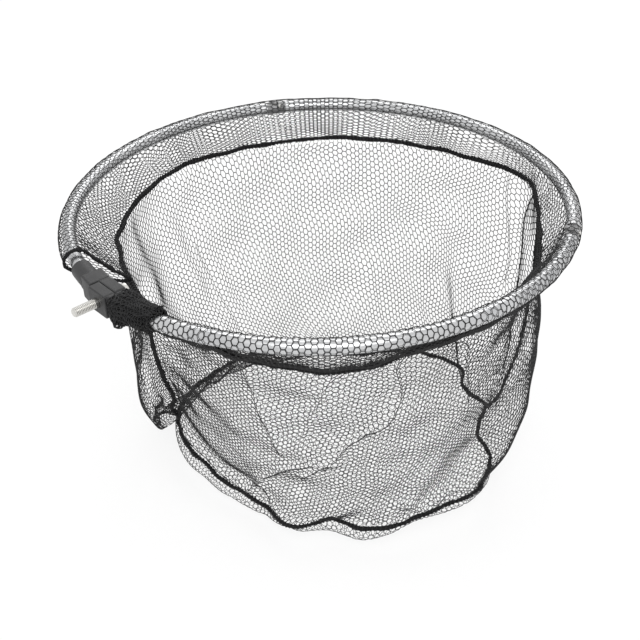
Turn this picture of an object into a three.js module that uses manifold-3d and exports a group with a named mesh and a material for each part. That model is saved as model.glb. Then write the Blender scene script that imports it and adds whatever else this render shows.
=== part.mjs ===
// Folding round landing-net head: a tube ring in three arcs, two folding hinges, a half-lap
// connector clamped by a threaded stud, and a net bag on a bound rim. Millimetres, +Z up.
// The origin is the centre of the connector's seat face, on the stud's axis. The stud points
// along -X, the ring lies in the plane z = 0 with its centre on +X, and the bag hangs below it.
// Angles are measured about the ring's centre from +X, so the connector is at 180 degrees.

import * as THREE from 'three';
import { mergeVertices } from 'three/addons/utils/BufferGeometryUtils.js';
import Module from 'manifold-3d';

// ---- driving dimensions ------------------------------------------------------------------

const gap = 0.3; // between pieces that touch

const ringRadius = 267.5; // tube centreline
const tubeRadius = 7.5;
const tubeWall = 1.2;
const tubeSides = 14;
const boreSides = 10;
const tubeSteps = 24; // straight facets along each arc

const seatToTube = 14.5; // seat face to tube centreline
const seatHeight = 25;
const connectorDepth = 25; // along X
const lapSplit = 12.35; // depth of the plane between the two laps
const lapReach = 14; // each lap runs this far past the stud's axis
const shoulderSetback = 2.3; // full blocks stand this far behind the seat face
const blockReach = 34; // along Y, where the block ends and the socket begins
const socketRadius = 10.5;
const socketSides = 18;
const neckRise = 0.8; // the collar where the block meets the socket stands this proud
const neckLength = 3;
const socketReach = 62; // along the ring from the stud's axis to the socket's mouth
const socketFloor = 36; // where the tube stops inside
const lapCorner = 3;
const lapBevel = 0.8;
const lapRoot = 5; // how far a lap runs into its block
const blockChamfer = 1.5;

const studRadius = 4.76; // three-eighths inch thread
const studLength = 25.5;
const studChamfer = 1.2;
const studSides = 20;
const boltHeadAcross = 16; // across corners
const boltHeadHeight = 5.5;
const washerRadius = 10;
const washerThickness = 1.4;
const boltHeadBevel = [0.8, 1.4]; // height and width

const rivetRadius = 1.6;
const rivetDepth = 6;
const rivetSetback = 0.15; // below the wall it is driven into
const socketRivetReach = 48; // along the ring from the stud's axis

const hingeAngle = 60; // each hinge's place on the ring
const hingeBody = 12; // along the ring from the hinge line to the tube's end
const hingeAxisHeight = 5;
const barrelRadius = 3.2;
const barrelHalfLength = 8;
const tongueHalfLength = 2.85;
const hingePinRadius = 1.45;
const hingePinHead = 2.4;
const hingePinHeadHeight = 0.8;
const plugLength = 15;
const hingeRivetReach = 19; // along the ring from the hinge line

const sleeveSlack = 0.7; // sleeve's inside to tube
const sleeveWall = 0.6;
const sleeveTipRadius = 1.8;
const sleevePastFold = 7; // degrees, before it is trimmed there
const sleeveNotch = 17.5; // radius of the opening left in the sleeve round each hinge
const sleeveMouthReach = 81; // from the stud's axis to the open end on the back arm
const sleeveMouthFlare = 4;
const sleeveFlareLength = 45;
const hemWidth = 4;
const hemThickness = 1;

const gatherStart = 18; // along Y from the stud's axis
const gatherEnd = 56;
const gatherThickness = 1.5;

const bandRadius = 240; // rim binding's centre
const bandDip = 20; // how far it is drawn in behind the connector
const bandDipSpread = 42; // degrees
const bandDepth = 38; // below the ring's plane
const bandHeight = 5;
const bandThickness = 4;
const bandSides = 60;

const bagDepth = 272; // ring's plane to the base seam
const bagWallThickness = 1.2;
const baseRadius = 180;
const baseShiftX = -16; // the bag leans off centre as it hangs
const baseShiftY = -39;
// how the wall hangs round the ring: the angle, the power of its curve there, which stays
// wide for longer when it is higher, and how far it swells outwards half way down
const wallHang = [
  [-180, 5, 6], [-165, 2, 2], [-150, 1.5, 0], [-115, 1.8, 0], [-80, 2.8, 0], [-50, 4.2, 0],
  [90, 5, 0], [125, 7, 3], [150, 9, 8], [172, 8, 8], [180, 5, 6],
];
const wallSides = 54;
const wallLevels = 10;
const foldDepth = 4;
const foldCount = 11;
const baseSides = 40;
const baseSag = 15;
const baseThickness = 1.2;
const baseSeamWidth = 5;
const baseSeamHeight = 3;

const seamWidth = 5;
const seamThickness = 1.2;
const seamLift = 0.9; // off the wall, whose facets it has to clear
const backSeamTop = 177; // degrees, at the rim
const backSeamFoot = 145; // degrees, at the base
const frontSeamAngle = -30;
const splitGap = 1.5; // between the two halves of rim and wall, at the fold

// plain openings in the wall that stand for the net's mesh
const meshRows = 4;
const meshPitch = 20; // degrees
const meshOpening = 13; // degrees
const meshTop = 0.095; // share of the wall's depth
const meshRowPitch = 0.22;
const meshRowOpening = 0.155;
const meshMargin = 2; // degrees kept from a seam
const meshToFold = 8; // kept from the fold
const meshReach = 20; // the cutter to each side of the wall

// ---- places worked out from them ---------------------------------------------------------

const ringCentreX = seatToTube + ringRadius;
const foldX = ringCentreX + ringRadius * Math.cos(THREE.MathUtils.degToRad(hingeAngle));
const hingeY = ringRadius * Math.sin(THREE.MathUtils.degToRad(hingeAngle));
const halfHeight = seatHeight / 2;
const boreRadius = tubeRadius - tubeWall;
const plugRadius = boreRadius - gap;
const bandTop = -bandDepth + bandHeight / 2;
const wallTop = -bandDepth - bandHeight / 2 - gap;
const far = 1000; // beyond everything, for cutting tools

const degrees = (length) => THREE.MathUtils.radToDeg(length / ringRadius);
const smooth = (t) => THREE.MathUtils.smoothstep(t, 0, 1);

// ---- materials ---------------------------------------------------------------------------

const finish = (color, roughness, metalness) =>
  new THREE.MeshStandardMaterial({ color, roughness, metalness });
const satinTube = () => finish(0xc9cbcd, 0.32, 1);
const brightSteel = () => finish(0xd4d2cb, 0.28, 1);
const darkPlastic = () => finish(0x3a3a3d, 0.5, 0);
const darkMetal = () => finish(0x4a4a4c, 0.42, 0.8);
const blackNet = () => finish(0x232326, 0.75, 0);
const blackTape = () => finish(0x1b1b1d, 0.85, 0);

// ---- solids ------------------------------------------------------------------------------

const wasm = await Module();
wasm.setup();

function toSolid(geometry) {
  const bare = geometry.clone();
  for (const name of Object.keys(bare.attributes)) {
    if (name !== 'position') bare.deleteAttribute(name);
  }
  const merged = mergeVertices(bare, 1e-4);
  return new wasm.Manifold(new wasm.Mesh({
    numProp: 3,
    vertProperties: new Float32Array(merged.attributes.position.array),
    triVerts: new Uint32Array(merged.index.array),
  }));
}

function toGeometry(solid) {
  const mesh = solid.getMesh();
  const geometry = new THREE.BufferGeometry();
  geometry.setAttribute('position', new THREE.BufferAttribute(new Float32Array(mesh.vertProperties), 3));
  geometry.setIndex(new THREE.BufferAttribute(new Uint32Array(mesh.triVerts), 1));
  geometry.computeVertexNormals();
  return geometry;
}

function box(x0, x1, y0, y1, z0, z1) {
  const shape = new THREE.BoxGeometry(x1 - x0, y1 - y0, z1 - z0);
  return toSolid(shape.translate((x0 + x1) / 2, (y0 + y1) / 2, (z0 + z1) / 2));
}

// a cylinder between two heights on a vertical axis
function post(x, y, z0, z1, radius, sides = 12) {
  const shape = new THREE.CylinderGeometry(radius, radius, z1 - z0, sides).rotateX(Math.PI / 2);
  return toSolid(shape.translate(x, y, (z0 + z1) / 2));
}

// a cylinder along Y at the hinge line's height
function barrel(yFrom, yTo, radius, sides = 16) {
  const shape = new THREE.CylinderGeometry(radius, radius, yTo - yFrom, sides);
  return toSolid(shape.translate(foldX, (yFrom + yTo) / 2, hingeAxisHeight));
}

// a solid of revolution on the X axis, from [x, radius] pairs
function turnedX(profile, sides) {
  const points = profile.map(([x, radius]) => new THREE.Vector2(radius, x));
  return new THREE.LatheGeometry(points, sides).rotateZ(-Math.PI / 2);
}

// a block with rounded corners seen along X, and bevelled edges
function roundedBlock(x0, x1, y0, y1, z0, z1, corner, bevel) {
  const shape = new THREE.Shape();
  shape.moveTo(y0 + corner, z0);
  shape.lineTo(y1 - corner, z0);
  shape.absarc(y1 - corner, z0 + corner, corner, -Math.PI / 2, 0);
  shape.lineTo(y1, z1 - corner);
  shape.absarc(y1 - corner, z1 - corner, corner, 0, Math.PI / 2);
  shape.lineTo(y0 + corner, z1);
  shape.absarc(y0 + corner, z1 - corner, corner, Math.PI / 2, Math.PI);
  shape.lineTo(y0, z0 + corner);
  shape.absarc(y0 + corner, z0 + corner, corner, Math.PI, Math.PI * 1.5);
  const geometry = new THREE.ExtrudeGeometry(shape, {
    depth: x1 - x0 - 2 * bevel,
    bevelThickness: bevel,
    bevelSize: bevel,
    bevelOffset: -bevel,
    bevelSegments: 1,
    curveSegments: 3,
  });
  const axes = new THREE.Matrix4().makeBasis(
    new THREE.Vector3(0, 1, 0), new THREE.Vector3(0, 0, 1), new THREE.Vector3(1, 0, 0));
  return toSolid(geometry.applyMatrix4(axes).translate(x0 + bevel, 0, 0));
}

// ---- the ring's path ---------------------------------------------------------------------

class RingArc extends THREE.Curve {
  constructor(fromDegrees, toDegrees) {
    super();
    this.from = THREE.MathUtils.degToRad(fromDegrees);
    this.to = THREE.MathUtils.degToRad(toDegrees);
  }

  getPoint(t, target = new THREE.Vector3()) {
    const angle = THREE.MathUtils.lerp(this.from, this.to, t);
    return target.set(ringCentreX + ringRadius * Math.cos(angle), ringRadius * Math.sin(angle), 0);
  }
}

function onRing(angleDegrees, radius, z) {
  const angle = THREE.MathUtils.degToRad(angleDegrees);
  return new THREE.Vector3(ringCentreX + radius * Math.cos(angle), radius * Math.sin(angle), z);
}

function circle(radius, sides) {
  return Array.from({ length: sides }, (_, i) => {
    const angle = (i / sides) * 2 * Math.PI;
    return new THREE.Vector2(radius * Math.cos(angle), radius * Math.sin(angle));
  });
}

// a round bar bent along the ring; a bore makes it a pipe
function bentBar(radius, fromDegrees, toDegrees, steps, sides = tubeSides, bore = 0) {
  const section = new THREE.Shape(circle(radius, sides));
  if (bore > 0) section.holes.push(new THREE.Path(circle(bore, boreSides)));
  const extrudePath = new RingArc(fromDegrees, toDegrees);
  return toSolid(new THREE.ExtrudeGeometry(section, { steps, extrudePath }));
}

// ---- lofts for the soft pieces -----------------------------------------------------------

// Joins loops of equal count. The loops turn anticlockwise seen from the last one.
// With inner loops the wall between the two is the body; a ring of loops closes on itself.
function loft(outer, inner = null, isRing = false) {
  const positions = [];
  const corner = (p) => positions.push(p.x, p.y, p.z);
  const triangle = (a, b, c) => { corner(a); corner(b); corner(c); };
  const count = outer[0].length;
  const skin = (loops, flip) => {
    const last = isRing ? loops.length : loops.length - 1;
    for (let k = 0; k < last; k += 1) {
      const here = loops[k];
      const next = loops[(k + 1) % loops.length];
      for (let i = 0; i < count; i += 1) {
        const j = (i + 1) % count;
        if (flip) {
          triangle(here[i], next[i], here[j]);
          triangle(here[j], next[i], next[j]);
        } else {
          triangle(here[i], here[j], next[i]);
          triangle(here[j], next[j], next[i]);
        }
      }
    }
  };
  const cap = (k, flip) => {
    for (let i = 0; i < count; i += 1) {
      const j = (i + 1) % count;
      if (inner) {
        const [a, b, c, d] = [outer[k][i], outer[k][j], inner[k][j], inner[k][i]];
        if (flip) { triangle(a, c, b); triangle(a, d, c); } else { triangle(a, b, c); triangle(a, c, d); }
      } else if (i > 0 && j > 0) {
        if (flip) triangle(outer[k][0], outer[k][j], outer[k][i]);
        else triangle(outer[k][0], outer[k][i], outer[k][j]);
      }
    }
  };
  skin(outer, false);
  if (inner) skin(inner, true);
  if (!isRing) {
    cap(0, true);
    cap(outer.length - 1, false);
  }
  const geometry = new THREE.BufferGeometry();
  geometry.setAttribute('position', new THREE.Float32BufferAttribute(positions, 3));
  return toSolid(geometry);
}

const steps = (count, make) => Array.from({ length: count + 1 }, (_, k) => make(k / count));

const behindFold = () => box(-far, foldX - splitGap / 2, -far, far, -far, far);
const beyondFold = () => box(foldX + splitGap / 2, far, -far, far, -far, far);

// ---- ring tubes --------------------------------------------------------------------------

const tubeHingeEnd = hingeAngle + degrees(hingeBody);
const tubeFrontEnd = hingeAngle - degrees(hingeBody);
const tubeSocketEnd = 180 - degrees(socketFloor);

// a blind hole from below through the tube's lower wall
function rivetHole(angleDegrees, outerRadius) {
  const at = onRing(angleDegrees, ringRadius, 0);
  return post(at.x, at.y, -outerRadius - 1, -outerRadius + rivetDepth + gap, rivetRadius + gap);
}

function rivet(angleDegrees, outerRadius) {
  const at = onRing(angleDegrees, ringRadius, 0);
  return post(at.x, at.y, -outerRadius + rivetSetback, -outerRadius + rivetDepth, rivetRadius);
}

const hingeRivetAngle = (side, front) =>
  side * (hingeAngle + (front ? -1 : 1) * degrees(hingeRivetReach));
const socketRivetAngle = (side) => side * (180 - degrees(socketRivetReach));

function armTube(side) {
  const ends = [side * tubeHingeEnd, side * tubeSocketEnd].sort((a, b) => a - b);
  return bentBar(tubeRadius, ends[0], ends[1], tubeSteps, tubeSides, boreRadius)
    .subtract(rivetHole(hingeRivetAngle(side, false), tubeRadius))
    .subtract(rivetHole(socketRivetAngle(side), socketRadius));
}

function frontTube() {
  return bentBar(tubeRadius, -tubeFrontEnd, tubeFrontEnd, tubeSteps, tubeSides, boreRadius)
    .subtract(rivetHole(hingeRivetAngle(1, true), tubeRadius))
    .subtract(rivetHole(hingeRivetAngle(-1, true), tubeRadius));
}

// ---- hinges: barrels on a mitre along the fold line --------------------------------------

// one leaf: a plug inside its tube, a mitred body and its share of the barrel
function hingeLeaf(side, front) {
  const way = front ? -1 : 1; // along the ring, away from the hinge
  const at = (reach) => side * (hingeAngle + way * degrees(reach));
  const span = (radius, from, to, count, sides) => {
    const ends = [at(from), at(to)].sort((a, b) => a - b);
    return bentBar(radius, ends[0], ends[1], count, sides);
  };
  const half = gap / 2;
  const keep = front
    ? box(foldX + half, far, -far, far, -far, hingeAxisHeight - half)
    : box(-far, foldX - half, -far, far, -far, hingeAxisHeight - half);
  const y = side * hingeY;
  const tongue = tongueHalfLength;
  const ear = [tongueHalfLength + gap, barrelHalfLength];
  let leaf = span(tubeRadius, -hingeBody, hingeBody - gap, 2).intersect(keep);
  const cuts = front ? [[-ear[1] - gap, -ear[0] + gap], [ear[0] - gap, ear[1] + gap]]
    : [[-tongue - gap, tongue + gap]];
  for (const [from, to] of cuts) leaf = leaf.subtract(barrel(y + from, y + to, barrelRadius + gap));
  leaf = leaf.add(span(plugRadius, hingeBody - 1, hingeBody + plugLength, 2, boreSides));
  const barrels = front ? [[-tongue, tongue]] : [[-ear[1], -ear[0]], [ear[0], ear[1]]];
  for (const [from, to] of barrels) leaf = leaf.add(barrel(y + from, y + to, barrelRadius));
  const clear = barrelHalfLength + 2 * gap + hingePinHeadHeight; // room for the pin's heads
  return leaf
    .subtract(barrel(y - barrelHalfLength - 1, y + barrelHalfLength + 1, hingePinRadius + gap, 10))
    .subtract(barrel(y + barrelHalfLength, y + clear + tubeRadius, hingePinHead + gap, 12))
    .subtract(barrel(y - clear - tubeRadius, y - barrelHalfLength, hingePinHead + gap, 12))
    .subtract(rivetHole(hingeRivetAngle(side, front), tubeRadius));
}

function hingePin(side) {
  const end = barrelHalfLength + gap;
  const points = [
    [0, -end - hingePinHeadHeight], [hingePinHead * 0.7, -end - hingePinHeadHeight],
    [hingePinHead, -end - hingePinHeadHeight * 0.4], [hingePinHead, -end],
    [hingePinRadius, -end], [hingePinRadius, end], [hingePinHead, end],
    [hingePinHead, end + hingePinHeadHeight * 0.4],
    [hingePinHead * 0.7, end + hingePinHeadHeight], [0, end + hingePinHeadHeight],
  ].map(([radius, along]) => new THREE.Vector2(radius, along));
  const pin = new THREE.LatheGeometry(points, 10);
  return pin.translate(foldX, side * hingeY, hingeAxisHeight);
}

// ---- connector: two fittings with half laps on one stud ----------------------------------

const ringX = (y) => ringCentreX - Math.sqrt(ringRadius ** 2 - y ** 2);
const blockHalfDepth = (connectorDepth - shoulderSetback) / 2;

// the block's middle runs from the laps' to the ring's own line, where the socket starts
function blockX(y) {
  const along = (Math.abs(y) - lapReach) / (blockReach - lapReach);
  return THREE.MathUtils.lerp((connectorDepth + shoulderSetback) / 2, ringX(blockReach), along);
}

function block(side) {
  const [y0, y1] = [lapReach + gap, blockReach].map((y) => side * y);
  const plan = [[-1, y0], [1, y0], [1, y1], [-1, y1]];
  const shape = new THREE.Shape(plan.map(([way, y]) =>
    new THREE.Vector2(blockX(y) + way * blockHalfDepth, y)));
  return toSolid(new THREE.ExtrudeGeometry(shape, {
    depth: seatHeight - 2 * blockChamfer,
    bevelThickness: blockChamfer,
    bevelSize: blockChamfer,
    bevelOffset: -blockChamfer,
    bevelSegments: 2,
  }).translate(0, 0, -halfHeight + blockChamfer));
}

// the end shared by both fittings: block, neck, and a socket for the tube
function fittingEnd(side) {
  const ring = (reach) => side * (180 - degrees(reach));
  const bar = (radius, from, to, count, sides) => {
    const ends = [ring(from), ring(to)].sort((a, b) => a - b);
    return bentBar(radius, ends[0], ends[1], count, sides);
  };
  return block(side)
    .add(bar(socketRadius, blockReach - neckLength, socketReach, 3, socketSides))
    .add(bar(socketRadius + neckRise, blockReach - neckLength, blockReach + neckLength, 1, socketSides))
    .subtract(bar(tubeRadius + gap, socketFloor - gap, socketReach + 2, 3, tubeSides))
    .subtract(rivetHole(socketRivetAngle(side), socketRadius));
}

const studBore = () => toSolid(turnedX([
  [-5, 0], [-5, studRadius + gap], [connectorDepth + 5, studRadius + gap],
  [connectorDepth + 5, 0]], studSides));

// the outer lap carries the seat face; its fitting holds the near arm
function outerLapFitting() {
  const lap = roundedBlock(0, lapSplit - gap / 2, -lapReach - lapBevel, lapReach,
    -halfHeight, halfHeight, lapCorner, lapBevel);
  const root = box(shoulderSetback + 1, lapSplit - gap / 2, -lapReach - lapRoot, lapRoot - lapReach,
    lapBevel - halfHeight, halfHeight - lapBevel);
  return fittingEnd(-1).add(lap).add(root).subtract(studBore());
}

// the inner lap backs it; its fitting holds the back arm
function innerLapFitting() {
  const lap = roundedBlock(lapSplit + gap / 2, connectorDepth, -lapReach, lapReach + lapBevel,
    -halfHeight, halfHeight, lapCorner, lapBevel);
  const root = box(lapSplit + gap / 2, connectorDepth - 1, lapReach - lapRoot, lapReach + lapRoot,
    lapBevel - halfHeight, halfHeight - lapBevel);
  return fittingEnd(1).add(lap).add(root).subtract(studBore());
}

function clampBolt() {
  const headStart = connectorDepth + washerThickness + 2 * gap;
  const headEnd = headStart + boltHeadHeight;
  const [bevelHeight, bevelWidth] = boltHeadBevel;
  const shank = toSolid(turnedX([
    [-studLength, 0], [-studLength, studRadius - studChamfer],
    [-studLength + studChamfer, studRadius], [headStart + 0.5, studRadius],
    [headStart + 0.5, 0]], studSides));
  const head = toSolid(turnedX([
    [headStart, 0], [headStart, boltHeadAcross / 2],
    [headEnd - bevelHeight, boltHeadAcross / 2], [headEnd, boltHeadAcross / 2 - bevelWidth],
    [headEnd, 0]], 6));
  return shank.add(head);
}

function boltWasher() {
  const from = connectorDepth + gap;
  const to = from + washerThickness;
  const bore = studRadius + gap;
  return turnedX([[from, bore], [from, washerRadius], [to, washerRadius], [to, bore], [from, bore]], studSides);
}

// ---- net sleeve: a teardrop round the tube, its tip on the rim binding -------------------

function rimRadius(angleDegrees) {
  const fromConnector = 180 - Math.abs(angleDegrees);
  return bandRadius - bandDip * Math.exp(-((fromConnector / bandDipSpread) ** 2));
}

// the outline round two circles, as [inward, up] about the tube's centre
function teardrop(bigRadius, tipRadius, tipInward, tipUp) {
  const reach = Math.hypot(tipInward, tipUp);
  const heading = Math.atan2(tipUp, tipInward);
  const spread = Math.acos((bigRadius - tipRadius) / reach);
  const bigArc = steps(9, (t) => {
    const angle = heading + spread + t * (2 * Math.PI - 2 * spread);
    return [bigRadius * Math.cos(angle), bigRadius * Math.sin(angle)];
  });
  const tipArc = steps(2, (t) => {
    const angle = heading - spread + t * 2 * spread;
    return [tipInward + tipRadius * Math.cos(angle), tipUp + tipRadius * Math.sin(angle)];
  });
  return [...bigArc, ...tipArc];
}

function sleeveLoop(angleDegrees, flare, offset) {
  const tipUp = bandTop + gap + sleeveTipRadius;
  const outline = teardrop(tubeRadius + sleeveSlack + sleeveWall + flare + offset,
    sleeveTipRadius + offset, ringRadius - rimRadius(angleDegrees), tipUp);
  return outline.map(([inward, up]) => onRing(angleDegrees, ringRadius - inward, up));
}

function mouthFlare(angleDegrees) {
  const mouthAngle = 180 - degrees(sleeveMouthReach);
  const start = mouthAngle - degrees(sleeveFlareLength);
  return sleeveMouthFlare * smooth((angleDegrees - start) / (mouthAngle - start));
}

function sleeve(fromDegrees, toDegrees, flareAt = () => 0) {
  const angles = steps(18, (t) => THREE.MathUtils.lerp(fromDegrees, toDegrees, t));
  return loft(angles.map((a) => sleeveLoop(a, flareAt(a), 0)),
    angles.map((a) => sleeveLoop(a, flareAt(a), -sleeveWall)));
}

// each sleeve is trimmed at the fold line and notched round the hinge
const hingeNotch = (side) => post(foldX, side * hingeY, -bandDepth, bandDepth, sleeveNotch, 20);

function backSleeve() {
  return sleeve(hingeAngle - sleevePastFold, 180 - degrees(sleeveMouthReach), mouthFlare)
    .intersect(behindFold())
    .subtract(hingeNotch(1));
}

function nearSleeve() {
  return sleeve(-180 + degrees(socketReach + gap), sleevePastFold - hingeAngle)
    .intersect(behindFold())
    .subtract(hingeNotch(-1));
}

function frontSleeve() {
  return sleeve(-hingeAngle - sleevePastFold, hingeAngle + sleevePastFold)
    .intersect(beyondFold())
    .subtract(hingeNotch(1))
    .subtract(hingeNotch(-1));
}

function mouthHem() {
  const start = 180 - degrees(sleeveMouthReach) + degrees(gap);
  const angles = [start, start + degrees(hemWidth)];
  return loft(angles.map((a) => sleeveLoop(a, sleeveMouthFlare, hemThickness / 2)),
    angles.map((a) => sleeveLoop(a, sleeveMouthFlare, -sleeveWall - hemThickness / 2)));
}

// ---- net gathered over the near fitting --------------------------------------------------

// a loop across Y: a rounded rectangle round the block, or a circle round the socket
function gatherLoop(y, onBlock, outward, ruffle) {
  const perCorner = 4;
  const halfX = onBlock ? blockHalfDepth - blockChamfer : 0;
  const halfZ = onBlock ? halfHeight - blockChamfer : 0;
  const centreX = onBlock ? blockX(y) : ringX(y);
  const radius = (onBlock ? blockChamfer : socketRadius + neckRise) + gap + outward;
  return Array.from({ length: 4 * perCorner }, (_, i) => {
    const corner = Math.floor(i / perCorner);
    const angle = ((i + 0.5) / perCorner) * (Math.PI / 2);
    const wave = ruffle * (1 + Math.cos(6 * angle + y));
    const x = (corner === 0 || corner === 3 ? halfX : -halfX) + (radius + wave) * Math.cos(angle);
    const z = (corner < 2 ? halfZ : -halfZ) + (radius + wave) * Math.sin(angle);
    return new THREE.Vector3(centreX + x, -y, z);
  });
}

function gatheredNet() {
  const stations = [
    [gatherStart, true, 0.3], [blockReach - 6, true, 0.5], [blockReach + gap, true, 0.3],
    [blockReach + neckLength + 1, false, 0.4], [(blockReach + gatherEnd) / 2, false, 0.7],
    [gatherEnd, false, 0.3],
  ];
  return loft(stations.map(([y, onBlock, ruffle]) => gatherLoop(y, onBlock, gatherThickness, ruffle)),
    stations.map(([y, onBlock]) => gatherLoop(y, onBlock, 0, 0)));
}

// ---- rim binding and bag -----------------------------------------------------------------

const fullTurn = (count) => Array.from({ length: count }, (_, k) => (k / count) * 360 - 180);

function rimBinding() {
  const loops = fullTurn(bandSides).map((a) => {
    const [r0, r1] = [rimRadius(a) - bandThickness / 2, rimRadius(a) + bandThickness / 2];
    const [z0, z1] = [bandTop - bandHeight, bandTop];
    return [onRing(a, r1, z0), onRing(a, r0, z0), onRing(a, r0, z1), onRing(a, r1, z1)];
  });
  return loft(loops, null, true);
}

// an angle brought between -180 and 180 degrees
const halfTurns = (angle) => THREE.MathUtils.euclideanModulo(angle + 180, 360) - 180;

// fullness and swell of the wall at an angle
function hangAt(angleDegrees) {
  const angle = halfTurns(angleDegrees);
  const next = wallHang.findIndex(([stop]) => stop > angle);
  const [from, to] = [wallHang[next - 1], wallHang[next]];
  const share = (angle - from[0]) / (to[0] - from[0]);
  return [1, 2].map((k) => THREE.MathUtils.lerp(from[k], to[k], share));
}

// a point of the bag's wall: depth runs from 0 at the rim to 1 at the base seam
function wallPoint(angleDegrees, depth, outward = 0) {
  const angle = THREE.MathUtils.degToRad(angleDegrees);
  const [fullness, swell] = hangAt(angleDegrees);
  const lean = depth ** 1.3;
  const fold = foldDepth * Math.sin(foldCount * angle) * Math.sin(Math.PI * depth) ** 2;
  const radius = baseRadius + (rimRadius(angleDegrees) - baseRadius) * (1 - depth ** fullness)
    + fold + swell * Math.sin(Math.PI * depth) + outward;
  return new THREE.Vector3(
    ringCentreX + baseShiftX * lean + radius * Math.cos(angle),
    baseShiftY * lean + radius * Math.sin(angle),
    THREE.MathUtils.lerp(wallTop, -bagDepth, depth));
}

// closer together where the wall turns in to the base
const wallDepths = steps(wallLevels, (t) => 1 - t * t * (1.6 - 0.6 * t));
const backSeamAngle = (depth) => THREE.MathUtils.lerp(backSeamTop, backSeamFoot, depth);

// one opening of the grid, or nothing where a seam or the fold runs
function meshCutter(middle, top) {
  const [a0, a1] = [middle - meshOpening / 2, middle + meshOpening / 2];
  const [d0, d1] = [top, top + meshRowOpening];
  const clear = meshOpening / 2 + meshMargin;
  const away = (seam) => Math.abs(halfTurns(middle - seam)) > clear;
  if (![d0, d1].every((d) => away(backSeamAngle(d)) && away(frontSeamAngle))) return null;
  const corners = (depth) => [[a0, -1], [a0, 1], [a1, 1], [a1, -1]]
    .map(([a, way]) => wallPoint(a, depth, way * meshReach));
  const loops = [corners(d1), corners(d0)];
  const clearOfFold = [1, -1].some((way) => (
    loops.flat().every((p) => way * (p.x - foldX) > meshToFold)));
  return clearOfFold ? loft(loops) : null;
}

function meshCutters() {
  const cutters = [];
  for (let row = 0; row < meshRows; row += 1) {
    for (let middle = -180; middle < 180; middle += meshPitch) {
      const cutter = meshCutter(middle, meshTop + row * meshRowPitch);
      if (cutter) cutters.push(cutter);
    }
  }
  return cutters;
}

function bagWall() {
  const half = bagWallThickness / 2;
  const loops = (outward) => wallDepths.map((d) => fullTurn(wallSides).map((a) => wallPoint(a, d, outward)));
  return meshCutters().reduce((wall, cutter) => wall.subtract(cutter), loft(loops(half), loops(-half)));
}

// a flat tape laid down the outside of the wall
function wallSeam(angleAt) {
  const near = bagWallThickness / 2 + seamLift;
  const half = seamWidth / 2;
  const loops = wallDepths.map((depth) => {
    const middle = angleAt(depth);
    const spread = THREE.MathUtils.radToDeg(half / baseRadius);
    return [[-1, near], [1, near], [1, near + seamThickness], [-1, near + seamThickness]]
      .map(([way, outward]) => wallPoint(middle + way * spread, depth, outward)).reverse();
  });
  return loft(loops);
}

const baseCentre = () => new THREE.Vector3(ringCentreX + baseShiftX, baseShiftY, 0);

function baseSeam() {
  const centre = baseCentre();
  const loops = fullTurn(baseSides).map((a) => {
    const angle = THREE.MathUtils.degToRad(a);
    const at = (radius, z) => new THREE.Vector3(
      centre.x + radius * Math.cos(angle), centre.y + radius * Math.sin(angle), z);
    const [r0, r1] = [baseRadius - baseSeamWidth / 2, baseRadius + baseSeamWidth / 2];
    const z1 = -bagDepth - gap;
    return [at(r1, z1 - baseSeamHeight), at(r0, z1 - baseSeamHeight), at(r0, z1), at(r1, z1)];
  });
  return loft(loops, null, true);
}

function basePanel() {
  const rim = baseRadius - baseSeamWidth / 2 - gap;
  const top = -bagDepth - gap - (baseSeamHeight - baseThickness) / 2;
  const sagAt = (radius) => -baseSag * (1 - (radius / rim) ** 2);
  const under = steps(3, (t) => new THREE.Vector2(t * rim, top - baseThickness + sagAt(t * rim)));
  const over = steps(3, (t) => new THREE.Vector2((1 - t) * rim, top + sagAt((1 - t) * rim)));
  const centre = baseCentre();
  const dish = new THREE.LatheGeometry([...under, ...over], baseSides).rotateX(Math.PI / 2);
  return dish.translate(centre.x, centre.y, 0);
}

// ---- the assembly ------------------------------------------------------------------------

const head = new THREE.Group();

function add(name, shape, material) {
  const geometry = shape.isBufferGeometry ? shape : toGeometry(shape);
  const mesh = new THREE.Mesh(geometry, material);
  mesh.name = name;
  head.add(mesh);
}

add('back_arm_tube', armTube(1), satinTube());
add('near_arm_tube', armTube(-1), satinTube());
add('front_arc_tube', frontTube(), satinTube());

add('outer_lap_fitting', outerLapFitting(), darkPlastic());
add('inner_lap_fitting', innerLapFitting(), darkPlastic());
add('clamp_bolt', clampBolt(), brightSteel());
add('bolt_washer', boltWasher(), brightSteel());

for (const [place, side] of [['back', 1], ['near', -1]]) {
  add(`${place}_hinge_ears`, hingeLeaf(side, false), darkMetal());
  add(`${place}_hinge_tongue`, hingeLeaf(side, true), darkMetal());
  add(`${place}_hinge_pin`, hingePin(side), brightSteel());
  add(`${place}_ears_rivet`, rivet(hingeRivetAngle(side, false), tubeRadius), brightSteel());
  add(`${place}_tongue_rivet`, rivet(hingeRivetAngle(side, true), tubeRadius), brightSteel());
  add(`${place}_socket_rivet`, rivet(socketRivetAngle(side), socketRadius), brightSteel());
}

add('back_sleeve', backSleeve(), blackNet());
add('near_sleeve', nearSleeve(), blackNet());
add('front_sleeve', frontSleeve(), blackNet());
add('sleeve_mouth_hem', mouthHem(), blackTape());
add('gathered_net', gatheredNet(), blackNet());

const binding = rimBinding();
add('rim_binding_rear', binding.intersect(behindFold()), blackTape());
add('rim_binding_front', binding.intersect(beyondFold()), blackTape());

const wall = bagWall();
add('bag_wall_rear', wall.intersect(behindFold()), blackNet());
add('bag_wall_front', wall.intersect(beyondFold()), blackNet());
add('back_side_seam', wallSeam(backSeamAngle), blackTape());
add('front_side_seam', wallSeam(() => frontSeamAngle).intersect(beyondFold()), blackTape());
add('base_seam', baseSeam(), blackTape());
add('base_panel', basePanel(), blackNet());

export default head;
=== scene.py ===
# Folding landing-net head, dressed round its CAD frame: metres, +Z up, the stud along -X.
# Sizes in the dictionaries are millimetres and degrees; meshes turn them into metres.
import math

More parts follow.
